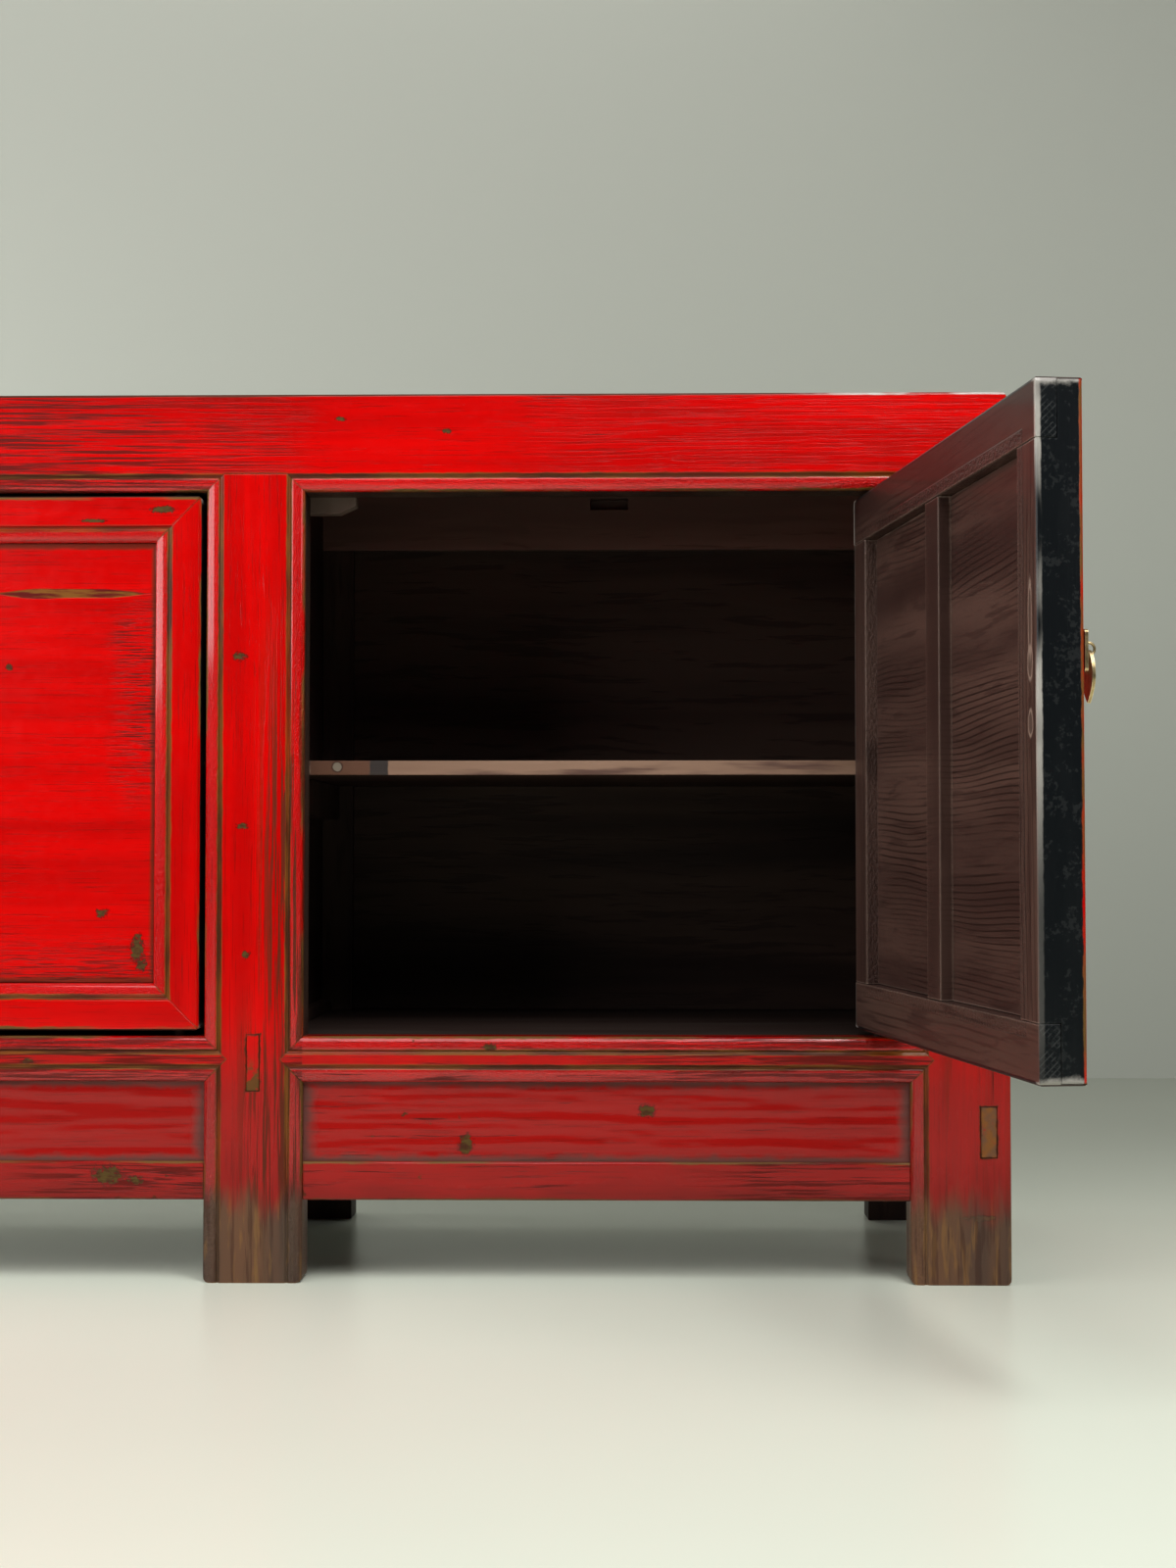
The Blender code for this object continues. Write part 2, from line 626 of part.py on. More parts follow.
def top_front_rail():
    """Moulded rail across the whole front, with the upper door sockets."""
    groove_floor = FRONT_FRAME_DEPTH - TONGUE - SEAT
    outline = [(back, OPENING_TOP + across) for across, back in moulding()]
    outline += [(back, HEIGHT - across) for across, back in reversed(rounded(EDGE_ROUND))]
    outline += [(FRONT_FRAME_DEPTH, HEIGHT), (FRONT_FRAME_DEPTH, TOP_TONGUE_HIGH + SEAT),
                (groove_floor, TOP_TONGUE_HIGH + SEAT), (groove_floor, TOP_TONGUE_LOW - SEAT),
                (FRONT_FRAME_DEPTH, TOP_TONGUE_LOW - SEAT), (FRONT_FRAME_DEPTH, OPENING_TOP)]
    rail = bar("top_front_rail", outline, -WIDTH / 2, WIDTH / 2, "X")
    cut_corner(rail, corner_lines()[0], OPENING_TOP)
    for index in range(len(LEG_NAMES)):
        chop(rail, leg_head(index), -MARGIN, MITRE_DEPTH + SEAT, "Y")
        pocket(rail, *leg_tenon_box(index, LEG_TENON_SETBACK, OPENING_TOP))
    for side in (-1, 1):
        round_top_end(rail, side)
        pocket(rail, *front_end_tenon(side))
    for index in range(len(BAYS)):
        socket(rail, index, OPENING_TOP - MARGIN, OPENING_TOP + TOP_PIN_LENGTH,
               BOTTOM_PIN_LENGTH + LIFT_SPARE)
    return finish(rail, "red_lacquer")


def leg_head(index):
    """Outline of the notch that takes the mitred head of a front leg."""
    left, right = leg_span(index)
    slope = math.sqrt(2) * SEAT
    shift = MOULDING_WIDTH + SEAT - slope
    top = MITRE_TOP + SEAT
    foot = OPENING_TOP - MARGIN
    start = [(left - slope - MARGIN, foot), (left + shift, top)]
    stop = [(right - shift, top), (right + slope + MARGIN, foot)]
    if index == 0:
        start = [(left - MARGIN, foot), (left - MARGIN, top)]
    if index == len(LEG_NAMES) - 1:
        stop = [(right + MARGIN, top), (right + MARGIN, foot)]
    return start + stop


def top_rear_rail():
    """Rail across the back, with a batten slot over each bay."""
    rail = box("top_rear_rail", (-WIDTH / 2, REAR_FRONT, REAR_SHOULDER), (WIDTH / 2, DEPTH, HEIGHT))
    cut_corner(rail, corner_lines()[1], REAR_SHOULDER)
    pocket(rail, (-WIDTH / 2 - MARGIN, REAR_FRONT - MARGIN, TOP_TONGUE_LOW),
           (WIDTH / 2 + MARGIN, REAR_FRONT + TONGUE, TOP_TONGUE_HIGH))
    for index in range(len(LEG_NAMES)):
        pocket(rail, *leg_tenon_box(index, REAR_FRONT + LEG_TENON_SETBACK, REAR_SHOULDER))
    for side in (-1, 1):
        round_top_end(rail, side)
        pocket(rail, *rear_end_tenon(side))
    for index in range(len(BAYS)):
        left, right = bay_span(index)
        pocket(rail, (left - TONGUE, BACK_PANEL_FRONT, REAR_SHOULDER - MARGIN),
               (right + TONGUE, BACK_PANEL_BACK, REAR_SHOULDER + TONGUE))
        middle = (left + right) / 2
        pocket(rail, (middle - SLOT_WIDTH / 2, REAR_FRONT - MARGIN, REAR_SHOULDER + SLOT_RISE),
               (middle + SLOT_WIDTH / 2, REAR_FRONT + SLOT_DEPTH, REAR_SHOULDER + SLOT_RISE + SLOT_HEIGHT))
    return finish(rail, "dark_wood")


def top_end_rail(side):
    """Short rail at one end of the top, mitred between the long rails."""
    (front_outer, front_inner), (rear_outer, rear_inner) = corner_lines()
    front_gap = SEAT * math.hypot(END_RAIL_WIDTH, FRONT_FRAME_DEPTH) / END_RAIL_WIDTH
    rear_gap = SEAT * math.hypot(END_RAIL_WIDTH, REAR_FRAME_DEPTH) / END_RAIL_WIDTH
    outline = [(side * front_outer[0], front_outer[1] + front_gap),
               (side * rear_outer[0], rear_outer[1] - rear_gap),
               (side * rear_inner[0], rear_inner[1] - rear_gap),
               (side * front_inner[0], front_inner[1] + front_gap)]
    name = "top_end_rail_left" if side == -1 else "top_end_rail_right"
    rail = bar(name, outline, OPENING_TOP, HEIGHT, "Z")
    round_top_end(rail, side)
    chop(rail, leg_head(0 if side == -1 else len(LEG_NAMES) - 1), -MARGIN, MITRE_DEPTH + SEAT, "Y")
    inner = side * (WIDTH / 2 - END_RAIL_WIDTH)
    ends = sorted((inner - side * MARGIN, inner + side * TONGUE))
    pocket(rail, (ends[0], 0, TOP_TONGUE_LOW), (ends[1], DEPTH, TOP_TONGUE_HIGH))
    pocket(rail, *side_panel_box(side))
    tenon(rail, *front_end_tenon(side))
    tenon(rail, *rear_end_tenon(side))
    return finish(rail, "red_lacquer")


def top_panel():
    """Floating board with a tongue all round, level with the top frame."""
    end = WIDTH / 2 - END_RAIL_WIDTH - SEAT
    panel = box("top_panel", (-end, FRONT_FRAME_DEPTH + SEAT, TOP_PANEL_BOTTOM),
                (end, REAR_FRONT - SEAT, HEIGHT))
    reach = TONGUE + SEAT
    tenon(panel, (-end - reach, FRONT_FRAME_DEPTH - TONGUE, TOP_TONGUE_LOW),
          (end + reach, REAR_FRONT + TONGUE, TOP_TONGUE_HIGH))
    return finish(panel, "red_lacquer")


# Rails and aprons under the doors
def bottom_rail(index):
    """Sill rail with a moulding on both edges, pointed shoulders and the lower door socket."""
    left, right = bay_span(index)
    point = BOTTOM_RAIL_HEIGHT / 2
    middle = (APRON_TOP + FLOOR_TOP) / 2
    groove_low = APRON_SETBACK - SEAT
    groove_high = APRON_SETBACK + APRON_THICKNESS + SEAT
    groove_top = APRON_TOP + TONGUE + SEAT
    lap = FRONT_FRAME_DEPTH - FLOOR_LAP - SEAT
    outline = [(back, APRON_TOP + across) for across, back in moulding()]
    outline += [(back, FLOOR_TOP - across) for across, back in reversed(moulding())]
    outline += [(lap, FLOOR_TOP), (lap, FLOOR_BOTTOM - SEAT), (FRONT_FRAME_DEPTH, FLOOR_BOTTOM - SEAT),
                (FRONT_FRAME_DEPTH, APRON_TOP), (groove_high, APRON_TOP), (groove_high, groove_top),
                (groove_low, groove_top), (groove_low, APRON_TOP)]
    rail = bar("bottom_rail_" + BAYS[index], outline, left - point, right + point, "X")
    for edge, outward in ((left, -1), (right, 1)):
        ends = sorted((edge - outward * SEAT, edge + outward * (point + MARGIN)))
        waste(rail, (ends[0], MITRE_DEPTH, APRON_TOP - MARGIN),
              (ends[1], FRONT_FRAME_DEPTH + MARGIN, FLOOR_TOP + MARGIN))
        for up in (-1, 1):
            rise = up * point
            wedge = [(edge - outward * MARGIN, middle + rise + up * MARGIN),
                     (edge + outward * (point + MARGIN), middle - up * MARGIN),
                     (edge + outward * (point + MARGIN), middle + rise + up * MARGIN)]
            chop(rail, wedge, -MARGIN, MITRE_DEPTH + MARGIN, "Y")
        tenon(rail, *rail_tenon_box(edge, outward))
    socket(rail, index, FLOOR_TOP - BOTTOM_PIN_LENGTH - SEAT, FLOOR_TOP, MARGIN)
    return finish(rail, "red_lacquer")


def apron_panel(index):
    """Plain board in grooves between the sill rail, the lower rail and two legs."""
    left, right = bay_span(index)
    panel = box("apron_panel_" + BAYS[index], (left - TONGUE, APRON_SETBACK, APRON_BOTTOM - TONGUE),
                (right + TONGUE, APRON_SETBACK + APRON_THICKNESS, APRON_TOP + TONGUE))
    return finish(panel, "red_lacquer")


def lower_rail(index):
    """Plain rail under the apron, tenoned into two legs."""
    left, right = bay_span(index)
    front = LOWER_RAIL_SETBACK
    back = front + LOWER_RAIL_THICKNESS
    groove_low = APRON_SETBACK - SEAT
    groove_high = APRON_SETBACK + APRON_THICKNESS + SEAT
    groove_floor = APRON_BOTTOM - TONGUE - SEAT
    outline = [(front + depth, FOOT_HEIGHT + across) for across, depth in rounded(EDGE_ROUND)]
    outline += [(front + depth, APRON_BOTTOM - across) for across, depth in reversed(rounded(EDGE_ROUND))]
    outline += [(groove_low, APRON_BOTTOM), (groove_low, groove_floor), (groove_high, groove_floor),
                (groove_high, APRON_BOTTOM), (back, APRON_BOTTOM), (back, FOOT_HEIGHT)]
    rail = bar("lower_rail_" + BAYS[index], outline, left + SEAT, right - SEAT, "X")
    tenon(rail, *lower_tenon_box(left, -1))
    tenon(rail, *lower_tenon_box(right, 1))
    return finish(rail, "red_lacquer")


# Sides and partitions
def side_panel(side):
    """Board between the end legs, with a shelf bearer and a floor ledge on its inner face."""
    name = "side_panel_left" if side == -1 else "side_panel_right"
    panel = box(name, *side_panel_box(side))
    root = SIDE_PANEL_INNER + SIDE_PANEL_THICKNESS / 2
    front = FRONT_FRAME_DEPTH + MARGIN
    back = REAR_FRONT - MARGIN
    for width, low, high in ledges():
        ends = sorted((side * root, side * (SIDE_PANEL_INNER - width)))
        tenon(panel, (ends[0], front, low), (ends[1], back, high))
    return finish(panel, "red_lacquer")


def ledges():
    """Width, lowest and highest level of each strip that carries or holds down a board."""
    return ((SHELF_BEARER_WIDTH, SHELF_BOTTOM - SHELF_BEARER_HEIGHT, SHELF_BOTTOM - SEAT),
            (FLOOR_LEDGE_WIDTH, FLOOR_BOTTOM - FLOOR_LEDGE_HEIGHT, FLOOR_BOTTOM - SEAT),
            (FLOOR_BATTEN_WIDTH, FLOOR_TOP + SEAT, FLOOR_TOP + FLOOR_BATTEN_HEIGHT))


def side_rail(side):
    """Rail under the side panel; its front tenon runs through the leg and shows on the front."""
    name = "side_rail_left" if side == -1 else "side_rail_right"
    outer = WIDTH / 2 - SIDE_RAIL_SETBACK
    ends = sorted((side * outer, side * (outer - SIDE_RAIL_THICKNESS)))
    rail = box(name, (ends[0], FRONT_FRAME_DEPTH + SEAT, APRON_BOTTOM),
               (ends[1], REAR_FRONT - SEAT, APRON_TOP))
    pocket(rail, *side_panel_box(side))
    tenon(rail, *side_tenon_box(side, 0, FRONT_FRAME_DEPTH + EMBED))
    tenon(rail, *side_tenon_box(side, REAR_FRONT - EMBED, REAR_FRONT + TENON_LENGTH))
    return finish(rail, "red_lacquer")


def closing_leg(bay):
    """Number of the leg that a door closes against."""
    return bay if pivot_place(bay)[0] == 1 else bay + 1


def door_stop(bay):
    """Chamfered block on a partition, behind the leg and the top rail, that a closing door meets."""
    left, right = bay_span(bay)
    hand = pivot_place(bay)[0]
    root = sum(leg_span(closing_leg(bay))) / 2
    tip = (left if hand == 1 else right) + hand * STOP_LENGTH
    low = OPENING_TOP - STOP_DROP
    high = OPENING_TOP + STOP_RISE
    outline = [(root, low), (tip - hand * STOP_CHAMFER_LENGTH, low), (tip, low + STOP_CHAMFER_RISE),
               (tip, high), (root, high)]
    front = FRONT_FRAME_DEPTH + 2 * SEAT
    return bar("door_stop_" + BAYS[bay], outline, front, front + STOP_DEPTH, "Y", CUTTERS)


def partition(index):
    """Upright board between two bays, with ledges on both faces, door stops and a through tenon."""
    left, right = leg_span(index)
    middle = (left + right) / 2
    half = PARTITION_THICKNESS / 2
    name = "partition_left" if index == 1 else "partition_right"
    top = TOP_PANEL_BOTTOM - SEAT
    outline = [(FRONT_FRAME_DEPTH - TONGUE, PARTITION_BOTTOM), (REAR_FRONT + TONGUE, PARTITION_BOTTOM),
               (REAR_FRONT + TONGUE, REAR_SHOULDER - SEAT), (REAR_FRONT - SEAT, REAR_SHOULDER - SEAT),
               (REAR_FRONT - SEAT, top), (FRONT_FRAME_DEPTH + SEAT, top),
               (FRONT_FRAME_DEPTH + SEAT, OPENING_TOP - SEAT),
               (FRONT_FRAME_DEPTH - TONGUE, OPENING_TOP - SEAT)]
    board = bar(name, outline, middle - half, middle + half, "X")
    front = FRONT_FRAME_DEPTH + MARGIN
    back = REAR_FRONT - MARGIN
    for width, low, high in ledges():
        tenon(board, (middle - half - width, front, low), (middle + half + width, back, high))
    half_tenon = PARTITION_TENON_WIDTH / 2
    tenon(board, (middle - half_tenon, 0, PARTITION_TENON_BOTTOM),
          (middle + half_tenon, FRONT_FRAME_DEPTH + EMBED, PARTITION_TENON_TOP))
    tenon(board, (middle - half_tenon, REAR_FRONT - EMBED, PARTITION_TENON_BOTTOM),
          (middle + half_tenon, REAR_FRONT + PARTITION_REAR_TENON, PARTITION_TENON_TOP))
    for bay in (index - 1, index):
        if closing_leg(bay) == index:
            shape(board, door_stop(bay), "UNION")
    return finish(board, "dark_wood")


# Boards inside
def inside_span(index):
    """Clear width of a bay behind the legs, from partition or side panel to the next."""
    left = -SIDE_PANEL_INNER if index == 0 else sum(leg_span(index)) / 2 + PARTITION_THICKNESS / 2
    last = index == len(BAYS) - 1
    right = SIDE_PANEL_INNER if last else sum(leg_span(index + 1)) / 2 - PARTITION_THICKNESS / 2
    return left + BOARD_CLEARANCE, right - BOARD_CLEARANCE


def floor_board(index):
    """Board notched round four legs and lapped onto the sill rail and the rear rail."""
    wide_left, wide_right = inside_span(index)
    left, right = bay_span(index)
    left += BOARD_CLEARANCE
    right -= BOARD_CLEARANCE
    front = FRONT_FRAME_DEPTH - FLOOR_LAP
    front_notch = FRONT_FRAME_DEPTH + SEAT
    back_notch = REAR_FRONT - SEAT
    back = REAR_RAIL_FRONT + FLOOR_LAP
    outline = [(left, front), (right, front), (right, front_notch), (wide_right, front_notch),
               (wide_right, back_notch), (right, back_notch), (right, back), (left, back),
               (left, back_notch), (wide_left, back_notch), (wide_left, front_notch), (left, front_notch)]
    board = bar("floor_board_" + BAYS[index], outline, FLOOR_BOTTOM, FLOOR_TOP, "Z")
    return finish(board, "dark_wood")


def shelf(index):
    """Board on two bearers, notched round the rear legs."""
    wide_left, wide_right = inside_span(index)
    left, right = bay_span(index)
    left += BOARD_CLEARANCE
    right -= BOARD_CLEARANCE
    notch = REAR_FRONT - SEAT
    back = BACK_PANEL_FRONT - SEAT
    outline = [(wide_left, SHELF_SETBACK), (wide_right, SHELF_SETBACK), (wide_right, notch), (right, notch),
               (right, back), (left, back), (left, notch), (wide_left, notch)]
    board = bar("shelf_" + BAYS[index], outline, SHELF_BOTTOM, SHELF_TOP, "Z")
    return finish(board, "dark_wood")


def back_panel(index):
    """Thin board in grooves of two rear legs and the top rear rail, standing on the floor board."""
    left, right = bay_span(index)
    panel = box("back_panel_" + BAYS[index], (left - TONGUE, BACK_PANEL_FRONT, FLOOR_TOP + SEAT),
                (right + TONGUE, BACK_PANEL_BACK, REAR_SHOULDER + TONGUE))
    return finish(panel, "dark_wood")


# Doors, drawn closed; across is the distance from the hinge edge towards the free edge
class Door:
    """One door: where its edges lie, and the pieces that hang on its pivot."""

    def __init__(self, index):
        self.name = BAYS[index] + "_door_"
        self.hand, self.pivot = pivot_place(index)
        self.edge = self.pivot.x + self.hand * PIVOT_INSET
        self.open = index == len(BAYS) - 1

    def x(self, across):
        return self.edge - self.hand * across

    def ends(self, first, second):
        return sorted((self.x(first), self.x(second)))


def member_outline(outer_round):
    """Section of a door member as (distance from its outer edge, depth from the door's front)."""
    tongue_low = DOOR_TONGUE_SINK - SEAT
    tongue_high = DOOR_TONGUE_SINK + DOOR_TONGUE_THICKNESS + SEAT
    groove = DOOR_MEMBER - TONGUE - SEAT
    outline = rounded(outer_round)
    outline += [(DOOR_MEMBER - across, back) for across, back in reversed(moulding())]
    outline += [(DOOR_MEMBER, tongue_low), (groove, tongue_low), (groove, tongue_high),
                (DOOR_MEMBER, tongue_high), (DOOR_MEMBER, DOOR_THICKNESS)]
    outline += [(across, DOOR_THICKNESS - back) for across, back in reversed(rounded(BACK_EDGE_ROUND))]
    return outline


def corner_cutter(door, across, level):
    """Rounds one corner of a door, seen from the front."""
    inward_x = -door.hand if across == 0 else door.hand
    inward_z = 1 if level == DOOR_BOTTOM else -1
    outline = corner_waste(door.x(across), level, inward_x, inward_z, DOOR_CORNER_ROUND)
    return bar(door.name + "corner", outline, DOOR_SETBACK - MARGIN, DOOR_BACK + MARGIN, "Y", CUTTERS)


def stile(door, name, across, outer_round):
    """Upright door member: mitred in its front half, cut back behind for the ends of the rails."""
    inward = 1 if across == 0 else -1
    outline = [(door.x(across + inward * u), DOOR_SETBACK + v) for u, v in member_outline(outer_round)]
    piece = bar(door.name + name, outline, DOOR_BOTTOM, DOOR_TOP, "Z")
    ends = door.ends(across - inward * MARGIN, across + inward * (DOOR_MEMBER + MARGIN))
    for level, down in ((DOOR_TOP, -1), (DOOR_BOTTOM, 1)):
        levels = sorted((level + down * (DOOR_MEMBER + SEAT), level - down * MARGIN))
        waste(piece, (ends[0], DOOR_SETBACK + DOOR_LAP - SEAT, levels[0]),
              (ends[1], DOOR_BACK + MARGIN, levels[1]))
        slope = math.sqrt(2) * SEAT
        wedge = [(across - inward * MARGIN, level + down * (slope - MARGIN)),
                 (across + inward * (DOOR_MEMBER + MARGIN), level + down * (slope + DOOR_MEMBER + MARGIN)),
                 (across + inward * (DOOR_MEMBER + MARGIN), level - down * MARGIN)]
        chop(piece, [(door.x(u), z) for u, z in wedge], DOOR_SETBACK - MARGIN, DOOR_SETBACK + DOOR_LAP, "Y")
        shape(piece, corner_cutter(door, across, level), "DIFFERENCE")
    return finish(piece, "red_lacquer")


def door_rail(door, name, level, down):
    """Level door member: mitred in its front half, full width behind, with a pivot pin."""
    outline = [(DOOR_SETBACK + v, level + down * u) for u, v in member_outline(BACK_EDGE_ROUND)]
    ends = door.ends(0, DOOR_WIDTH)
    piece = bar(door.name + name, outline, ends[0], ends[1], "X")
    for across, inward in ((0, 1), (DOOR_WIDTH, -1)):
        wedge = [(across - inward * MARGIN, level - down * MARGIN),
                 (across + inward * (DOOR_MEMBER + MARGIN), level + down * (DOOR_MEMBER + MARGIN)),
                 (across - inward * MARGIN, level + down * (DOOR_MEMBER + MARGIN))]
        chop(piece, [(door.x(u), z) for u, z in wedge], DOOR_SETBACK - MARGIN, DOOR_SETBACK + DOOR_LAP, "Y")
        shape(piece, corner_cutter(door, across, level), "DIFFERENCE")
    hinge_round = corner_waste(door.x(0), DOOR_SETBACK, -door.hand, 1, HINGE_EDGE_ROUND)
    levels = sorted((level - down * MARGIN, level + down * (DOOR_MEMBER + MARGIN)))
    chop(piece, hinge_round, levels[0], levels[1], "Z")
    return piece


def pin(door, piece, low, high):
    """Join a pivot pin to a door rail."""
    place = (door.pivot.x, door.pivot.y, 0)
    shape(piece, peg(piece.name + "_pin", place, PIVOT_RADIUS, low, high, PIN_SIDES), "UNION")


def door_panel(door):
    """Floating panel with a tongue all round and an upright batten on its back."""
    front = DOOR_SETBACK + DOOR_PANEL_SINK
    back = front + DOOR_PANEL_THICKNESS
    ends = door.ends(DOOR_MEMBER + SEAT, DOOR_WIDTH - DOOR_MEMBER - SEAT)
    low = DOOR_BOTTOM + DOOR_MEMBER + SEAT
    high = DOOR_TOP - DOOR_MEMBER - SEAT
    panel = box(door.name + "panel", (ends[0], front, low), (ends[1], back, high))
    reach = TONGUE + SEAT
    tongue_front = DOOR_SETBACK + DOOR_TONGUE_SINK
    tenon(panel, (ends[0] - reach, tongue_front, low - reach),
          (ends[1] + reach, tongue_front + DOOR_TONGUE_THICKNESS, high + reach))
    middle = (ends[0] + ends[1]) / 2
    tenon(panel, (middle - BATTEN_WIDTH / 2, back - EMBED, low + SEAT),
          (middle + BATTEN_WIDTH / 2, DOOR_BACK, high - SEAT))
    return finish(panel, "red_lacquer")


def pull_plate(door):
    """Brass plate on the free stile, with a ring that carries the drop and a shank through the wood."""
    centre = door.x(DOOR_WIDTH - PULL_INSET)
    half_width, half_height = PLATE_WIDTH / 2, PLATE_HEIGHT / 2
    inner = (half_width - PLATE_CORNER, half_height - PLATE_CORNER)
    outline = []
    for turn, (side, up) in enumerate(((1, 1), (-1, 1), (-1, -1), (1, -1))):
        corner = (centre + side * inner[0], PULL_HEIGHT + up * inner[1])
        outline += arc(corner, PLATE_CORNER, PLATE_CORNER, 90 * turn, 90 * turn + 90, ROUND_STEPS)
    plate = bar(door.name + "pull_plate", outline, PLATE_FRONT, PLATE_FRONT + PLATE_THICKNESS, "Y")
    bpy.ops.mesh.primitive_torus_add(major_segments=RING_SIDES, minor_segments=RING_WIRE_SIDES,
                                     major_radius=RING_RADIUS, minor_radius=RING_WIRE,
                                     location=(centre, RING_DEPTH, RING_HEIGHT), rotation=(0, math.pi / 2, 0))
    ring = bpy.context.object
    ring.name = door.name + "pull_ring"
    for home in list(ring.users_collection):
        home.objects.unlink(ring)
    CUTTERS.objects.link(ring)
    shape(plate, ring, "UNION")
    shank = peg(door.name + "pull_shank", (centre, 0, PULL_HEIGHT), SHANK_RADIUS,
                -DOOR_SETBACK - SHANK_LENGTH, -PLATE_FRONT - PLATE_THICKNESS / 2, SHANK_SIDES, "Y")
    shape(plate, shank, "UNION")
    return finish(plate, "aged_brass")


def pull_drop(door):
    """Leaf-shaped plate that hangs from the ring through its eye."""
    centre = door.x(DOOR_WIDTH - PULL_INSET)
    top = RING_HEIGHT - DROP_TOP_BELOW_RING
    curve = curve_object(door.name + "pull_drop", "Y", RING_DEPTH - DROP_THICKNESS / 2,
                         RING_DEPTH + DROP_THICKNESS / 2)
    curve.data.resolution_u = DROP_STEPS
    half = DROP_WIDTH / 2
    belly = top - DROP_BELLY
    tip = top - DROP_LENGTH
    spline = curve.data.splines.new("BEZIER")
    spline.bezier_points.add(3)
    handles = (((centre, top), (-DROP_CROWN_HANDLE, 0), (DROP_CROWN_HANDLE, 0)),
               ((centre + half, belly), (0, DROP_UPPER_HANDLE), (0, -DROP_LOWER_HANDLE)),
               ((centre, tip), (DROP_TIP_SPREAD, DROP_TIP_RISE), (-DROP_TIP_SPREAD, DROP_TIP_RISE)),
               ((centre - half, belly), (0, -DROP_LOWER_HANDLE), (0, DROP_UPPER_HANDLE)))
    for point, (place, before, after) in zip(spline.bezier_points, handles):
        point.handle_left_type = "FREE"
        point.handle_right_type = "FREE"
        point.co = (*place, 0)
        point.handle_left = (place[0] + before[0], place[1] + before[1], 0)
        point.handle_right = (place[0] + after[0], place[1] + after[1], 0)
    spline.use_cyclic_u = True
    drop = solid_from(curve, PARTS)
    eye = peg(door.name + "pull_eye", (centre, 0, RING_HEIGHT - RING_RADIUS), DROP_EYE_RADIUS,
              -RING_DEPTH - DROP_THICKNESS, -RING_DEPTH + DROP_THICKNESS, EYE_SIDES, "Y")
    shape(drop, eye, "DIFFERENCE")
    return finish(drop, "aged_brass")


def build_door(index):
    """All pieces of one door, the drop last."""
    door = Door(index)
    hinge = stile(door, "hinge_stile", 0, HINGE_EDGE_ROUND)
    free = stile(door, "pull_stile", DOOR_WIDTH, FREE_EDGE_ROUND)
    bore = peg(door.name + "shank_bore", (door.x(DOOR_WIDTH - PULL_INSET), 0, PULL_HEIGHT),
               SHANK_RADIUS + SHANK_CLEARANCE, -DOOR_SETBACK - SHANK_LENGTH - MARGIN, MARGIN,
               SHANK_SIDES, "Y")
    shape(free, bore, "DIFFERENCE")
    top = door_rail(door, "top_rail", DOOR_TOP, -1)
    pin(door, top, DOOR_TOP - EMBED, OPENING_TOP + TOP_PIN_LENGTH)
    finish(top, "red_lacquer")
    bottom = door_rail(door, "bottom_rail", DOOR_BOTTOM, 1)
    pin(door, bottom, FLOOR_TOP - BOTTOM_PIN_LENGTH, DOOR_BOTTOM + EMBED)
    finish(bottom, "red_lacquer")
    return door, [hinge, free, top, bottom, door_panel(door), pull_plate(door)], pull_drop(door)


# Assembly
def empty(name, place, parent, parent_place):
    """A frame that pieces hang on, placed in the cabinet's own frame."""
    made = bpy.data.objects.new(name, None)
    PARTS.objects.link(made)
    made.location = place
    if parent:
        made.parent = parent
        made.matrix_parent_inverse = Matrix.Translation(-Vector(parent_place))
    return made


def hang(pieces, frame, place):
    """Fix pieces, and the tools that shape them, to a frame."""
    for piece in pieces:
        tools = [modifier.object for modifier in piece.modifiers]
        for each in [piece] + tools:
            each.parent = frame
            each.matrix_parent_inverse = Matrix.Translation(-Vector(place))


def build():
    cabinet = empty("cabinet_frame", (0, FRONT_Y, 0), None, None)
    origin = Vector((0, 0, 0))
    legs = range(len(LEG_NAMES))
    bays = range(len(BAYS))
    carcass = [front_leg(index) for index in legs] + [rear_leg(index) for index in legs]
    carcass += [top_front_rail(), top_rear_rail(), top_panel(), rear_rail()]
    for side in (-1, 1):
        carcass += [top_end_rail(side), side_panel(side), side_rail(side)]
    carcass += [partition(1), partition(2)]
    for index in bays:
        carcass += [bottom_rail(index), apron_panel(index), lower_rail(index), floor_board(index),
                    shelf(index), back_panel(index)]
    hang(carcass, cabinet, origin)
    for index in bays:
        door, pieces, drop = build_door(index)
        frame = empty(door.name + "pivot", door.pivot, cabinet, origin)
        if door.open:
            frame.rotation_euler.z = door.hand * OPEN_ANGLE
        hang(pieces, frame, door.pivot)
        ring = Vector((door.x(DOOR_WIDTH - PULL_INSET), RING_DEPTH, RING_HEIGHT))
        swing = empty(door.name + "pull_swing", ring, frame, door.pivot)
        hang([drop], swing, ring)
    bpy.context.view_layer.update()


build()
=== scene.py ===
"""Looks of the red lacquer sideboard: finishes, worn surfaces, floor, light and camera."""
import json
import math

import bmesh
import bpy
from mathutils import Matrix, Vector


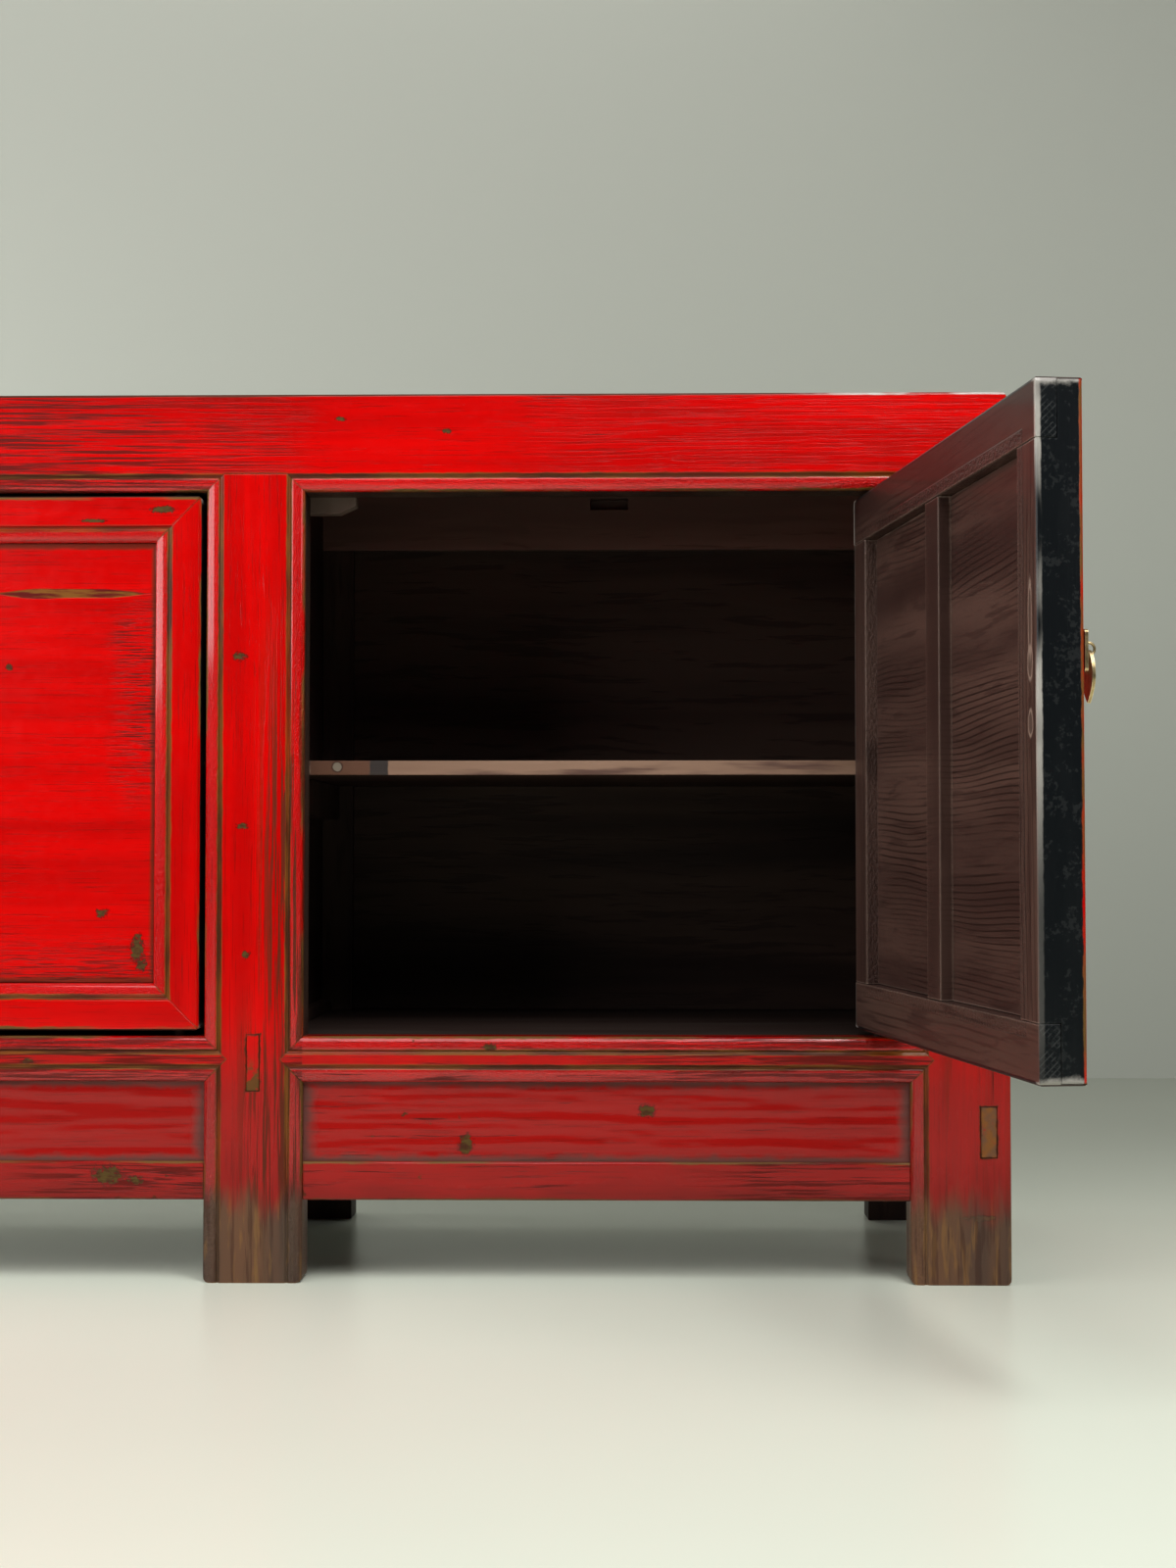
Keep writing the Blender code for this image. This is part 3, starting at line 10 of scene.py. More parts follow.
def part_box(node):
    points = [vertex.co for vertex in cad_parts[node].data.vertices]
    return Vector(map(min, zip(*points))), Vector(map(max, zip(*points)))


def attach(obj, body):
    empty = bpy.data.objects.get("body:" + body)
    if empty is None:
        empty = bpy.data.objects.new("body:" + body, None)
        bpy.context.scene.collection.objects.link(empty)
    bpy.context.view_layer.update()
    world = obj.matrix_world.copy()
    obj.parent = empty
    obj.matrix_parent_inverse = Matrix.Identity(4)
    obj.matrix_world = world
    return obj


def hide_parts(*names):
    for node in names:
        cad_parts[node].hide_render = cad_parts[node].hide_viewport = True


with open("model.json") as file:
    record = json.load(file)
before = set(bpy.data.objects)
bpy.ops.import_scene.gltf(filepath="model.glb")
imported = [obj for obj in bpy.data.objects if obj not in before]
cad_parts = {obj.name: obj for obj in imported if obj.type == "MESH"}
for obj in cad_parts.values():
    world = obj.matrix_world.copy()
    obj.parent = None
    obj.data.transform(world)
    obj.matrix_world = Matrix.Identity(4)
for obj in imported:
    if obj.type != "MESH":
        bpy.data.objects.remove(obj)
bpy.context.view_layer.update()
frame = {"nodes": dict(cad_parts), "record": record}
nodes = frame["nodes"]
body_of_node = {name: body for body, names in frame["record"]["behaviour"]["bodies"].items() for name in names}
joints = {joint["name"]: joint for joint in frame["record"]["behaviour"]["joints"]}

BAYS = ("left", "middle", "right")
LEGS = ("left_end", "left_middle", "right_middle", "right_end")

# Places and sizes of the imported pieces
rail_low, rail_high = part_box("top_front_rail")
FRONT_Y, WIDTH, HEIGHT, OPENING_TOP = rail_low.y, rail_high.x - rail_low.x, rail_high.z, rail_low.z
leg_low, leg_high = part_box("front_leg_right_end")
LEG_WIDTH, FRAME_DEPTH = leg_high.x - leg_low.x, leg_high.y - leg_low.y
PITCH = leg_low.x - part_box("front_leg_right_middle")[0].x
APRON_TOP, FLOOR_TOP = (corner.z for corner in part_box("bottom_rail_right"))
FOOT_HEIGHT, APRON_BOTTOM = (corner.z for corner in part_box("lower_rail_right"))
stile_low, stile_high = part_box("middle_door_hinge_stile")
DOOR_BOTTOM, DOOR_TOP = stile_low.z, stile_high.z
DOOR_FRONT, DOOR_THICKNESS = stile_low.y, stile_high.y - stile_low.y
DOOR_MEMBER = stile_high.x - stile_low.x
DOOR_WIDTH = stile_high.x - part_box("middle_door_pull_stile")[0].x
HINGE_INSET = stile_high.x - joints["middle_door_hinge"]["pos_m"][0]
OPEN_ANGLE = -math.radians(joints["right_door_hinge"]["range_deg"][0])
SIDE_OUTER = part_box("side_panel_right")[1].x

# Colours, linear
RED = (0.69, 0.0008, 0.0005)
RED_DEEP = (0.52, 0.0007, 0.0005)
# Dull red of the lower front: painted shade, with some dirt
RED_LOW_SHADE_AND_DIRT = (0.26, 0.008, 0.006)
RED_BROWN = (0.11, 0.0040, 0.0020)
LINE_DARK = (0.064, 0.0045, 0.0020)
WORN_GOLD = (0.22, 0.090, 0.020)
WORN_OLIVE = (0.090, 0.058, 0.016)
CHIP_OLIVE = (0.095, 0.057, 0.012)
QUIRK_BROWN = (0.210, 0.076, 0.010)
QUIRK_DARK = (0.066, 0.019, 0.006)
# Grey-brown of dust with painted shade
DUST_AND_SHADE = (0.110, 0.055, 0.046)
HOLLOW_DARK = (0.030, 0.012, 0.008)
FOOT_BROWN = (0.150, 0.076, 0.040)
FOOT_GREY = (0.075, 0.052, 0.038)
FOOT_GOLD = (0.230, 0.120, 0.040)
BLACK = (0.0036, 0.0050, 0.0062)
SCUFF = (0.045, 0.047, 0.047)
# Pale of worn spots, used also for painted highlights
PALE_WEAR_AND_HIGHLIGHT = (0.46, 0.43, 0.39)
BACK_BROWN = (0.104, 0.055, 0.043)
BACK_DARK = (0.020, 0.009, 0.007)
BACK_MIDDLE = (0.046, 0.022, 0.018)
PEG_PALE = (0.21, 0.17, 0.13)
FRAME_BROWN = (0.092, 0.050, 0.039)
# Pale marks on the backs of the doors, and the painted highlight on their arrises
BACK_PALE_MARK_AND_HIGHLIGHT = (0.360, 0.255, 0.205)
REAR_RAIL_BROWN = (0.200, 0.105, 0.084)
INSIDE_BROWN = (0.056, 0.032, 0.023)
INSIDE_DARK = (0.020, 0.010, 0.008)
FLOOR_BROWN = (0.030, 0.021, 0.017)
# Grey of the stop block: painted light
STOP_BLOCK_LIT_GREY = (0.150, 0.115, 0.090)
SHELF_EDGE = (0.30, 0.185, 0.128)
SHELF_DARK = (0.120, 0.055, 0.034)
IRON = (0.020, 0.021, 0.023)
BRASS_DULL = (0.36, 0.25, 0.12)
BRASS_BRIGHT = (0.62, 0.47, 0.24)
BRASS_HOLLOW = (0.05, 0.035, 0.02)
BRASS_WORN = (0.80, 0.66, 0.40)
FLOOR_PALE = (0.80, 0.85, 0.715)
FLOOR_PALER = (0.86, 0.91, 0.775)
# Painted shade of the floor near the camera and towards the wall
FLOOR_NEAR_SHADED = (0.62, 0.66, 0.565)
FLOOR_FAR_SHADED = (0.40, 0.42, 0.352)
WALL_PALE = (0.46, 0.48, 0.42, 1.0)
WORLD_PALE = (0.93, 0.95, 0.90, 1.0)


# Node helpers
def put(tree, kind, inputs=None, **settings):
    """Adds a node; an input is given a value or linked to a socket."""
    made = tree.nodes.new(kind)
    for key, value in settings.items():
        setattr(made, key, value)
    for key, value in (inputs or {}).items():
        if isinstance(value, bpy.types.NodeSocket):
            tree.links.new(value, made.inputs[key])
        else:
            made.inputs[key].default_value = value
    return made


def calc(operation, first, second=0.0):
    """A math node in the tree of the sockets that it is given."""
    tree = next(value.id_data for value in (first, second) if isinstance(value, bpy.types.NodeSocket))
    return put(tree, "ShaderNodeMath", {0: first, 1: second}, operation=operation).outputs[0]


def plus(first, second):
    return calc("ADD", first, second)


def minus(first, second):
    return calc("SUBTRACT", first, second)


def least(first, second):
    return calc("MINIMUM", first, second)


def most(first, second):
    return calc("MAXIMUM", first, second)


def away(value, middle):
    """Distance of a value from a middle."""
    return calc("ABSOLUTE", minus(value, middle))


def times(*factors):
    result = factors[0]
    for factor in factors[1:]:
        result = calc("MULTIPLY", result, factor)
    return result


def ramp(value, low, high, start=0.0, stop=1.0):
    """Smooth step of a value from one range to another."""
    limits = {"Value": value, "From Min": low, "From Max": high, "To Min": start, "To Max": stop}
    return put(value.id_data, "ShaderNodeMapRange", limits, interpolation_type="SMOOTHSTEP").outputs["Result"]


def band(value, start, stop, soft):
    """1 where a value lies between start and stop."""
    return times(ramp(value, start - soft, start + soft), ramp(value, stop + soft, stop - soft))


def blend(factor, first, second):
    """Mixes two colours."""
    first = (*first, 1.0) if isinstance(first, tuple) else first
    second = (*second, 1.0) if isinstance(second, tuple) else second
    return put(factor.id_data, "ShaderNodeMix", {0: factor, 6: first, 7: second}, data_type="RGBA").outputs[2]


def fade(factor, first, second):
    """Mixes two numbers."""
    return put(factor.id_data, "ShaderNodeMix", {0: factor, 2: first, 3: second}, data_type="FLOAT").outputs[0]


def vector_calc(operation, first, second):
    return put(first.id_data, "ShaderNodeVectorMath", {0: first, 1: second}, operation=operation).outputs[0]


def noise_value(vector, scale, detail=2.0, roughness=0.5):
    values = {"Vector": vector, "Scale": scale, "Detail": detail, "Roughness": roughness}
    return put(vector.id_data, "ShaderNodeTexNoise", values).outputs["Fac"]


def new_group(name, inputs, outputs):
    """An empty shader group; inputs are (name, type, value) and outputs (name, type)."""
    group = bpy.data.node_groups.new(name, "ShaderNodeTree")
    for label, kind, value in inputs:
        socket = group.interface.new_socket(label, in_out="INPUT", socket_type="NodeSocket" + kind)
        if value is not None:
            socket.default_value = value
    for label, kind in outputs:
        group.interface.new_socket(label, in_out="OUTPUT", socket_type="NodeSocket" + kind)
    return group, group.nodes.new("NodeGroupInput").outputs, group.nodes.new("NodeGroupOutput").inputs


# Effects that the finishes share
def grain_group():
    """Wood grain along X: thin dark lines, broad tone bands and a fine fibre height."""
    group, given, out = new_group(
        "Wood grain", [("Vector", "Vector", None), ("Density", "Float", 150.0), ("Stretch", "Float", 24.0),
                       ("Sway", "Float", 0.010), ("Coverage", "Float", 0.5)],
        [("Lines", "Float"), ("Bands", "Float"), ("Fibre", "Float")])
    slow = noise_value(given["Vector"], 3.2, 2.0)
    sway = times(minus(slow, 0.5), given["Sway"])
    shift = put(group, "ShaderNodeCombineXYZ", {1: sway, 2: sway}).outputs[0]
    moved = vector_calc("ADD", given["Vector"], shift)
    parts = put(group, "ShaderNodeSeparateXYZ", {0: moved}).outputs
    along = calc("DIVIDE", parts[0], given["Stretch"])
    flat = put(group, "ShaderNodeCombineXYZ", {0: along, 1: parts[1], 2: parts[2]}).outputs[0]
    lines = noise_value(flat, given["Density"], 3.0, 0.62)
    edge = minus(0.80, times(given["Coverage"], 0.36))
    group.links.new(ramp(minus(lines, edge), 0.0, 0.07), out["Lines"])
    bands_scale = times(given["Density"], 0.16)
    group.links.new(noise_value(flat, bands_scale, 3.0), out["Bands"])
    fibre_scale = times(given["Density"], 2.6)
    group.links.new(noise_value(flat, fibre_scale, 2.0, 0.6), out["Fibre"])
    return group


def wear_group():
    """Worn arrises and dark hollows, broken up along their length."""
    group, given, out = new_group(
        "Edge wear", [("Vector", "Vector", None), ("Width", "Float", 0.003), ("Reach", "Float", 0.5)],
        [("Edge", "Float"), ("Hollow", "Float")])
    soft = put(group, "ShaderNodeBevel", {"Radius": given["Width"]}, samples=6).outputs[0]
    flat = put(group, "ShaderNodeNewGeometry").outputs["Normal"]
    alike = put(group, "ShaderNodeVectorMath", {0: soft, 1: flat}, operation="DOT_PRODUCT").outputs["Value"]
    bend = minus(1.0, alike)
    distance = times(given["Width"], 2.2)
    shade = put(group, "ShaderNodeAmbientOcclusion", {"Distance": distance}, samples=6,
                only_local=True).outputs["AO"]
    hollow = ramp(shade, 0.80, 0.42)
    broken = noise_value(given["Vector"], 46.0, 4.0, 0.62)
    fine = noise_value(given["Vector"], 240.0, 2.0)
    rag = plus(times(broken, 0.75), times(fine, 0.25))
    level = minus(plus(rag, given["Reach"]), 1.0)
    strong = times(ramp(bend, 0.010, 0.16), ramp(level, -0.07, 0.07))
    group.links.new(times(strong, minus(1.0, hollow)), out["Edge"])
    group.links.new(times(hollow, ramp(rag, 0.25, 0.60)), out["Hollow"])
    return group


def patch_group():
    """A ragged patch at a place, with a wider rim round it."""
    group, given, out = new_group(
        "Ragged patch", [("Vector", "Vector", None), ("Centre", "Vector", None), ("Size", "Vector", None),
                         ("Raggedness", "Float", 0.6), ("Detail", "Float", 160.0)],
        [("Mask", "Float"), ("Rim", "Float")])
    offset = vector_calc("SUBTRACT", given["Vector"], given["Centre"])
    scaled = vector_calc("DIVIDE", offset, given["Size"])
    length = put(group, "ShaderNodeVectorMath", {0: scaled}, operation="LENGTH").outputs["Value"]
    rag = minus(noise_value(given["Vector"], given["Detail"], 3.0, 0.6), 0.5)
    ragged = plus(length, times(rag, given["Raggedness"], 2.4))
    group.links.new(ramp(ragged, 1.04, 0.86), out["Mask"])
    group.links.new(ramp(ragged, 1.45, 1.00), out["Rim"])
    return group


def speck_group():
    """Scattered small chips."""
    group, given, out = new_group(
        "Chips", [("Vector", "Vector", None), ("Scale", "Float", 60.0), ("Amount", "Float", 0.2)],
        [("Mask", "Float")])
    coarse = noise_value(given["Vector"], given["Scale"], 4.0, 0.65)
    gate = noise_value(given["Vector"], times(given["Scale"], 0.17), 1.0)
    both = times(coarse, plus(gate, 0.5))
    edge = minus(0.86, times(given["Amount"], 0.5))
    group.links.new(ramp(minus(both, edge), 0.0, 0.03), out["Mask"])
    return group


def ring_group():
    """Thin dark growth rings that run along X and lie one above another in Z."""
    group, given, out = new_group(
        "Growth rings", [("Vector", "Vector", None), ("Spacing", "Float", 0.007), ("Sway", "Float", 0.03)],
        [("Lines", "Float")])
    slow = put(group, "ShaderNodeMapping", {"Vector": given["Vector"], "Scale": (1.8, 1.0, 7.0)}).outputs[0]
    sway = times(minus(noise_value(slow, 1.0, 2.0), 0.5), given["Sway"])
    height = plus(put(group, "ShaderNodeSeparateXYZ", {0: given["Vector"]}).outputs[2], sway)
    phase = times(calc("DIVIDE", height, given["Spacing"]), 2.0 * math.pi)
    line = ramp(calc("SINE", phase), 0.45, 0.99)
    faint = put(group, "ShaderNodeMapping", {"Vector": given["Vector"], "Scale": (5.0, 5.0, 24.0)}).outputs[0]
    shown = ramp(noise_value(faint, 1.0, 3.0), 0.34, 0.62)
    group.links.new(times(line, shown), out["Lines"])
    return group


GRAIN = grain_group()
RINGS = ring_group()
WEAR = wear_group()
PATCH = patch_group()
CHIPS = speck_group()

COAT = 0.42
BARE_COAT = 0.06
COAT_ROUGHNESS = 0.10
SPECULAR_LEVEL = 0.15
TURN = {"X": (0.0, 0.0, 0.0), "Y": (0.0, 0.0, -math.pi / 2), "Z": (0.0, math.pi / 2, 0.0)}


class Finish:
    """One material while it is put together: colour, roughness and height build up layer by layer."""

    def __init__(self, name, place=None):
        self.material = bpy.data.materials.new(name)
        self.material.use_nodes = True
        self.tree = self.material.node_tree
        self.shader = self.tree.nodes["Principled BSDF"]
        self.at = put(self.tree, "ShaderNodeTexCoord").outputs["Object"]
        if place:
            turn, shift = place
            self.at = put(self.tree, "ShaderNodeMapping", {"Vector": self.at, "Rotation": (0.0, 0.0, turn),
                                                           "Location": shift}).outputs[0]
        axes = put(self.tree, "ShaderNodeSeparateXYZ", {0: self.at}).outputs
        self.x, self.y, self.z = axes[0], axes[1], axes[2]
        self.colour = None
        self.rough = 0.3
        self.height = 0.0
        self.coat = 0.0

    def along(self, axis):
        """Coordinates turned so that the grain's axis becomes X."""
        return put(self.tree, "ShaderNodeMapping", {"Vector": self.at, "Rotation": TURN[axis]}).outputs[0]

    def effect(self, group, vector=None, **values):
        """Places a shared effect and gives its outputs."""
        vector = self.at if vector is None else vector
        return put(self.tree, "ShaderNodeGroup", {"Vector": vector, **values}, node_tree=group).outputs

    def grain(self, axis, **values):
        return self.effect(GRAIN, self.along(axis), **values)

    def noise(self, scale, detail=2.0, roughness=0.5):
        return noise_value(self.at, scale, detail, roughness)

    def streak(self, axis, scale, stretch, detail=3.0):
        """Noise drawn out along an axis."""
        squeeze = tuple(1.0 / stretch if name == axis else 1.0 for name in "XYZ")
        moved = put(self.tree, "ShaderNodeMapping", {"Vector": self.at, "Scale": squeeze}).outputs[0]
        return noise_value(moved, scale, detail, 0.58)

    def ragged(self, value, scale, reach, axis=None):
        """A distance with its edge made ragged by up to half the reach."""
        rag = self.streak(axis, scale, 5.0) if axis else self.noise(scale, 4.0, 0.6)
        return plus(value, times(minus(rag, 0.5), reach))

    def lay(self, mask, colour, rough=None, height=None, coat=None):
        """Lays a colour over what is there, through a mask."""
        self.colour = blend(mask, self.colour, colour)
        if coat is not None:
            self.coat = fade(mask, self.coat, coat)
        if rough is not None:
            self.rough = fade(mask, self.rough, rough)
        if height is not None:
            self.height = plus(self.height, times(mask, height))

    def patch(self, centre, size, raggedness=0.6, detail=160.0):
        return self.effect(PATCH, Centre=centre, Size=size, Raggedness=raggedness, Detail=detail)

    def chip(self, x, z, across, up, depth=0.0, colour=CHIP_OLIVE, raggedness=1.05, detail=300.0):
        """A place on the front where the lacquer has come away, with a browned rim."""
        made = self.patch((x, FRONT_Y + depth, z), (across, 0.03, up), raggedness, detail)
        self.lay(times(made["Rim"], 0.80), RED_BROWN)
        broken = ramp(self.streak("X", 260.0, 2.0), 0.36, 0.60)
        self.lay(made["Mask"], blend(broken, QUIRK_DARK, colour), 0.55, -0.6, BARE_COAT)

    def chips(self, places, depth=0.0):
        """Chips given as place across and up, half width and half height."""
        for x, z, across, up in places:
            self.chip(x, z, across, up, depth)

    def done(self, metallic=0.0, depth=0.0006):
        bump = put(self.tree, "ShaderNodeBump", {"Height": self.height, "Strength": 1.0, "Distance": depth})
        self.tree.links.new(bump.outputs[0], self.shader.inputs["Normal"])
        for value, name in ((self.colour, "Base Color"), (self.rough, "Roughness"), (metallic, "Metallic"),
                            (self.coat, "Coat Weight")):
            if isinstance(value, bpy.types.NodeSocket):
                self.tree.links.new(value, self.shader.inputs[name])
            else:
                self.shader.inputs[name].default_value = value
        self.shader.inputs["Coat Roughness"].default_value = COAT_ROUGHNESS
        self.shader.inputs["Specular IOR Level"].default_value = SPECULAR_LEVEL
        return self.material


# Lacquer
MOULDING_QUIRK = (0.0118, 0.0172)
# Height below which the front is darkened: painted shade, with some dirt
LOW_SHADE_AND_DIRT_TOP = 0.26
LIP_DEPTH = 0.008
RAIL_LIP_DEPTH = 0.010

# Through tenons: place across and up, half width and half height
PARTITION_TENON = (0.33655, 0.2085, 0.0060, 0.0265)
SIDE_TENON = (1.03595, 0.1440, 0.0075, 0.0240)
TENON_FLUSH = (FRONT_Y + 0.0030, FRONT_Y + 0.0040)


def lacquer(finish, axis, streaks=0.40, wear=0.52, quirk=None, arris=None, chips=0.10):
    """Red lacquer over grain; quirk and arris are distances from a moulded edge and from a rounded arris."""
    broad = finish.grain(axis, Density=300.0, Stretch=34.0, Coverage=streaks)
    hair = finish.grain(axis, Density=720.0, Stretch=50.0, Sway=0.004, Coverage=0.64)
    finish.coat = COAT if quirk is None else ramp(quirk, 0.0140, 0.0130, COAT, 1.0)
    tone = plus(times(broad["Bands"], 0.65), times(finish.noise(5.0, 3.0), 0.35))
    finish.colour = blend(ramp(tone, 0.38, 0.60), RED_DEEP, RED)
    finish.rough = ramp(finish.noise(90.0, 4.0), 0.35, 0.70, 0.16, 0.24)
    wave = finish.streak(axis, 30.0, 3.0, 2.0)
    finish.height = plus(times(hair["Fibre"], 0.10), wave)
    # Painted shade, with some dirt: the front turns a dull red towards the bottom
    low = ramp(finish.ragged(finish.z, 14.0, 0.10), LOW_SHADE_AND_DIRT_TOP, 0.17)
    finish.lay(times(low, 0.72), RED_LOW_SHADE_AND_DIRT, 0.28)
    finish.lay(times(hair["Lines"], 0.42), RED_BROWN, None, -0.08)
    gate = ramp(finish.noise(8.0, 2.0), 0.42, 0.62)
    finish.lay(times(broad["Lines"], gate, 0.85), LINE_DARK, 0.40, -0.45, BARE_COAT)
    worn_colour = blend(broad["Bands"], WORN_GOLD, WORN_OLIVE)
    if quirk is not None:
        near = finish.ragged(quirk, 70.0, 0.0030)
        dents = times(ramp(quirk, 0.0138, 0.0128), finish.streak(axis, 420.0, 2.0), 3.6)
        finish.height = plus(finish.height, dents)
        faint = ramp(finish.streak(axis, 14.0, 3.0), 0.32, 0.56, 0.45, 0.95)
        brown = blend(ramp(finish.streak(axis, 60.0, 6.0), 0.40, 0.62), QUIRK_BROWN, QUIRK_DARK)
        finish.lay(times(band(near, *MOULDING_QUIRK, 0.0007), faint), brown, 0.42, None, 0.2)
    if arris is not None:
        near = finish.ragged(arris, 50.0, 0.0040)
        broken = ramp(finish.streak(axis, 20.0, 2.5), 0.42, 0.56)
        finish.lay(times(ramp(near, 0.0028, 0.0012), broken), worn_colour, 0.45, None, BARE_COAT)
    worn = finish.effect(WEAR, Width=0.0024, Reach=wear)
    finish.lay(times(worn["Hollow"], 0.85), QUIRK_DARK, 0.48, None, BARE_COAT)
    finish.lay(times(worn["Edge"], 0.9), worn_colour, 0.38, -0.10, 0.3)
    speck = finish.effect(CHIPS, finish.along(axis), Scale=55.0, Amount=chips)["Mask"]
    finish.lay(speck, blend(broad["Bands"], CHIP_OLIVE, RED_BROWN), 0.5, -0.5, BARE_COAT)


def at_front(finish, distance, depth):
    """A distance that counts only as deep as given behind the front plane."""
    return plus(distance, ramp(finish.y, FRONT_Y + depth, FRONT_Y + depth + 0.002))


def across_bay(finish):
    """Distance from the left end of a bay's opening."""
    return calc("MODULO", plus(finish.x, WIDTH / 2 - LEG_WIDTH), PITCH)


def dull_top(finish):
    """The top is rubbed, with dust on it, and less glossy than the front."""
    up = ramp(finish.z, HEIGHT - 0.0012, HEIGHT - 0.0006)
    finish.rough = fade(up, finish.rough, 0.50)
    finish.coat = fade(up, finish.coat, 0.03)


def dark_reveal(finish, distance):
    """The sides of an opening, and the back of the member, are bare and dark."""
    deep = ramp(finish.y, FRONT_Y + 0.0075, FRONT_Y + 0.0095)
    inside = times(ramp(distance, 0.0018, 0.0010), deep)
    back = ramp(finish.y, FRONT_Y + FRAME_DEPTH - 0.0012, FRONT_Y + FRAME_DEPTH - 0.0006)
    bare_wood(finish, "Z", INSIDE_BROWN, INSIDE_DARK, most(inside, back))


def tenon_outline(finish, x, z, half_width, half_height):
    """Brown line round a through tenon, on both sides of the middle."""
    across = minus(away(calc("ABSOLUTE", finish.x), x), half_width)
    up = minus(away(finish.z, z), half_height)
    near = finish.ragged(most(across, up), 190.0, 0.0060)
    broken = ramp(finish.noise(75.0, 3.0), 0.36, 0.55, 0.25, 0.95)
    finish.lay(times(band(near, -0.0008, 0.0014, 0.0008), broken), QUIRK_DARK, 0.45, None, BARE_COAT)


def leg_finish():
    finish = Finish("lacquer_leg")
    across = calc("MODULO", plus(finish.x, WIDTH / 2), PITCH)
    edge = least(across, minus(LEG_WIDTH, across))
    outside = ramp(calc("ABSOLUTE", finish.x), 1.000, 1.002)
    lacquer(finish, "Z", streaks=0.36, wear=0.56, quirk=plus(edge, outside), chips=0.12,
            arris=at_front(finish, plus(edge, outside), LIP_DEPTH))
    furrow = finish.grain("Z", Density=340.0, Stretch=60.0, Sway=0.006, Coverage=0.86)
    worn_side = times(ramp(across, 0.040, 0.070), ramp(finish.z, 0.70, 0.45), minus(1.0, times(outside, 0.8)))
    worn_foot = times(ramp(across, 0.016, 0.060), ramp(finish.z, 0.30, 0.20), minus(1.0, times(outside, 0.9)))
    furrows = times(furrow["Lines"], most(worn_side, worn_foot))
    finish.lay(times(furrows, 0.85), QUIRK_DARK, 0.42, -0.7, BARE_COAT)
    dark_reveal(finish, plus(plus(edge, outside), ramp(finish.z, FLOOR_TOP, APRON_TOP)))
    tenon_outline(finish, *PARTITION_TENON)
    tenon_outline(finish, *SIDE_TENON)
    finish.chips(((0.3219, 0.5968, 0.0055, 0.0034), (0.3247, 0.4342, 0.0050, 0.0026),
                  (0.3294, 0.3110, 0.0032, 0.0040), (-0.3460, 0.4710, 0.0050, 0.0036),
                  (-1.0120, 0.3300, 0.0048, 0.0044)))
    finish.chip(1.0276, 0.0630, 0.0130, 0.0026, colour=FOOT_GOLD)
    grain = finish.grain("Z", Density=120.0, Stretch=16.0, Coverage=0.85)
    smudge = ramp(finish.ragged(finish.z, 34.0, 0.14, "Z"), 0.140, 0.066)
    finish.lay(times(smudge, 0.42), RED_BROWN, 0.4, None, 0.2)
    low = ramp(finish.ragged(finish.z, 46.0, 0.070, "Z"), 0.100, 0.060)
    brown = blend(ramp(grain["Bands"], 0.35, 0.65), FOOT_GREY, FOOT_BROWN)
    gold = ramp(finish.streak("Z", 110.0, 7.0), 0.52, 0.64)
    brown = blend(times(gold, 0.60), brown, FOOT_GOLD)
    brown = blend(times(grain["Lines"], 0.45), brown, HOLLOW_DARK)
    finish.lay(times(low, 0.96), brown, 0.46, -0.12, BARE_COAT)
    worn = finish.effect(WEAR, Width=0.0028, Reach=0.60)["Edge"]
    finish.lay(times(worn, low, 0.7), FOOT_GOLD)
    return finish.done()


def top_rail_finish():
    finish = Finish("lacquer_top_rail")
    quirk = minus(finish.z, OPENING_TOP)
    lacquer(finish, "X", streaks=0.44, wear=0.55, quirk=quirk, arris=at_front(finish, quirk, LIP_DEPTH))
    rough_grain = finish.grain("X", Density=460.0, Stretch=72.0, Coverage=0.90)
    left = ramp(finish.ragged(finish.x, 5.0, 0.5), 0.40, 0.22)
    right = ramp(finish.ragged(finish.x, 5.0, 0.4), 0.52, 0.68)
    worn = times(most(left, times(right, 0.35)), rough_grain["Lines"], 0.85)
    finish.lay(worn, LINE_DARK, 0.40, -0.35, BARE_COAT)
    edge = at_front(finish, minus(HEIGHT, finish.z), 0.004)
    lip = ramp(finish.ragged(edge, 40.0, 0.0030, "X"), 0.0034, 0.0016)
    # Towards the right end the dark lip thins out and the edge is painted pale: wear with a painted highlight.
    rubbed = ramp(finish.ragged(finish.x, 8.0, 0.30), 0.82, 0.92, 0.95, 0.35)
    finish.lay(times(lip, rubbed), QUIRK_DARK, 0.5, None, BARE_COAT)
    broken = ramp(finish.streak("X", 30.0, 3.0), 0.50, 0.58)
    finish.lay(times(lip, ramp(finish.x, 0.84, 0.93), broken), PALE_WEAR_AND_HIGHLIGHT, 0.35)
    finish.chips(((0.4182, 0.8258, 0.0040, 0.0018), (0.5210, 0.8137, 0.0038, 0.0018),
                  (-0.2700, 0.8190, 0.0060, 0.0024), (-0.7100, 0.8010, 0.0045, 0.0020)))
    dull_top(finish)
    dark_reveal(finish, quirk)
    return finish.done()


def scratch_bays(finish, coverage, start, stop):
    """Fine dark scratches on the right part of each bay."""
    lines = finish.grain("X", Density=420.0, Stretch=40.0, Coverage=coverage)["Lines"]
    scratched = times(ramp(finish.ragged(across_bay(finish), 7.0, 0.20), start, stop), 0.75)
    finish.lay(times(lines, scratched), LINE_DARK, 0.4, -0.3, BARE_COAT)


def sill_finish():
    finish = Finish("lacquer_sill")
    edge = least(minus(finish.z, APRON_TOP), minus(FLOOR_TOP, finish.z))
    arris = at_front(finish, minus(FLOOR_TOP, finish.z), RAIL_LIP_DEPTH)
    lacquer(finish, "X", streaks=0.58, wear=0.62, quirk=edge, arris=arris, chips=0.14)
    finish.chips(((0.5630, 0.2239, 0.0060, 0.0026), (0.1210, 0.2100, 0.0050, 0.0022),
                  (-0.5900, 0.2230, 0.0055, 0.0024)))
    scratch_bays(finish, 0.90, 0.24, 0.40)
    behind = ramp(finish.y, FRONT_Y + 0.0385, FRONT_Y + 0.0395)
    finish.lay(behind, INSIDE_BROWN, 0.6)
    return finish.done()


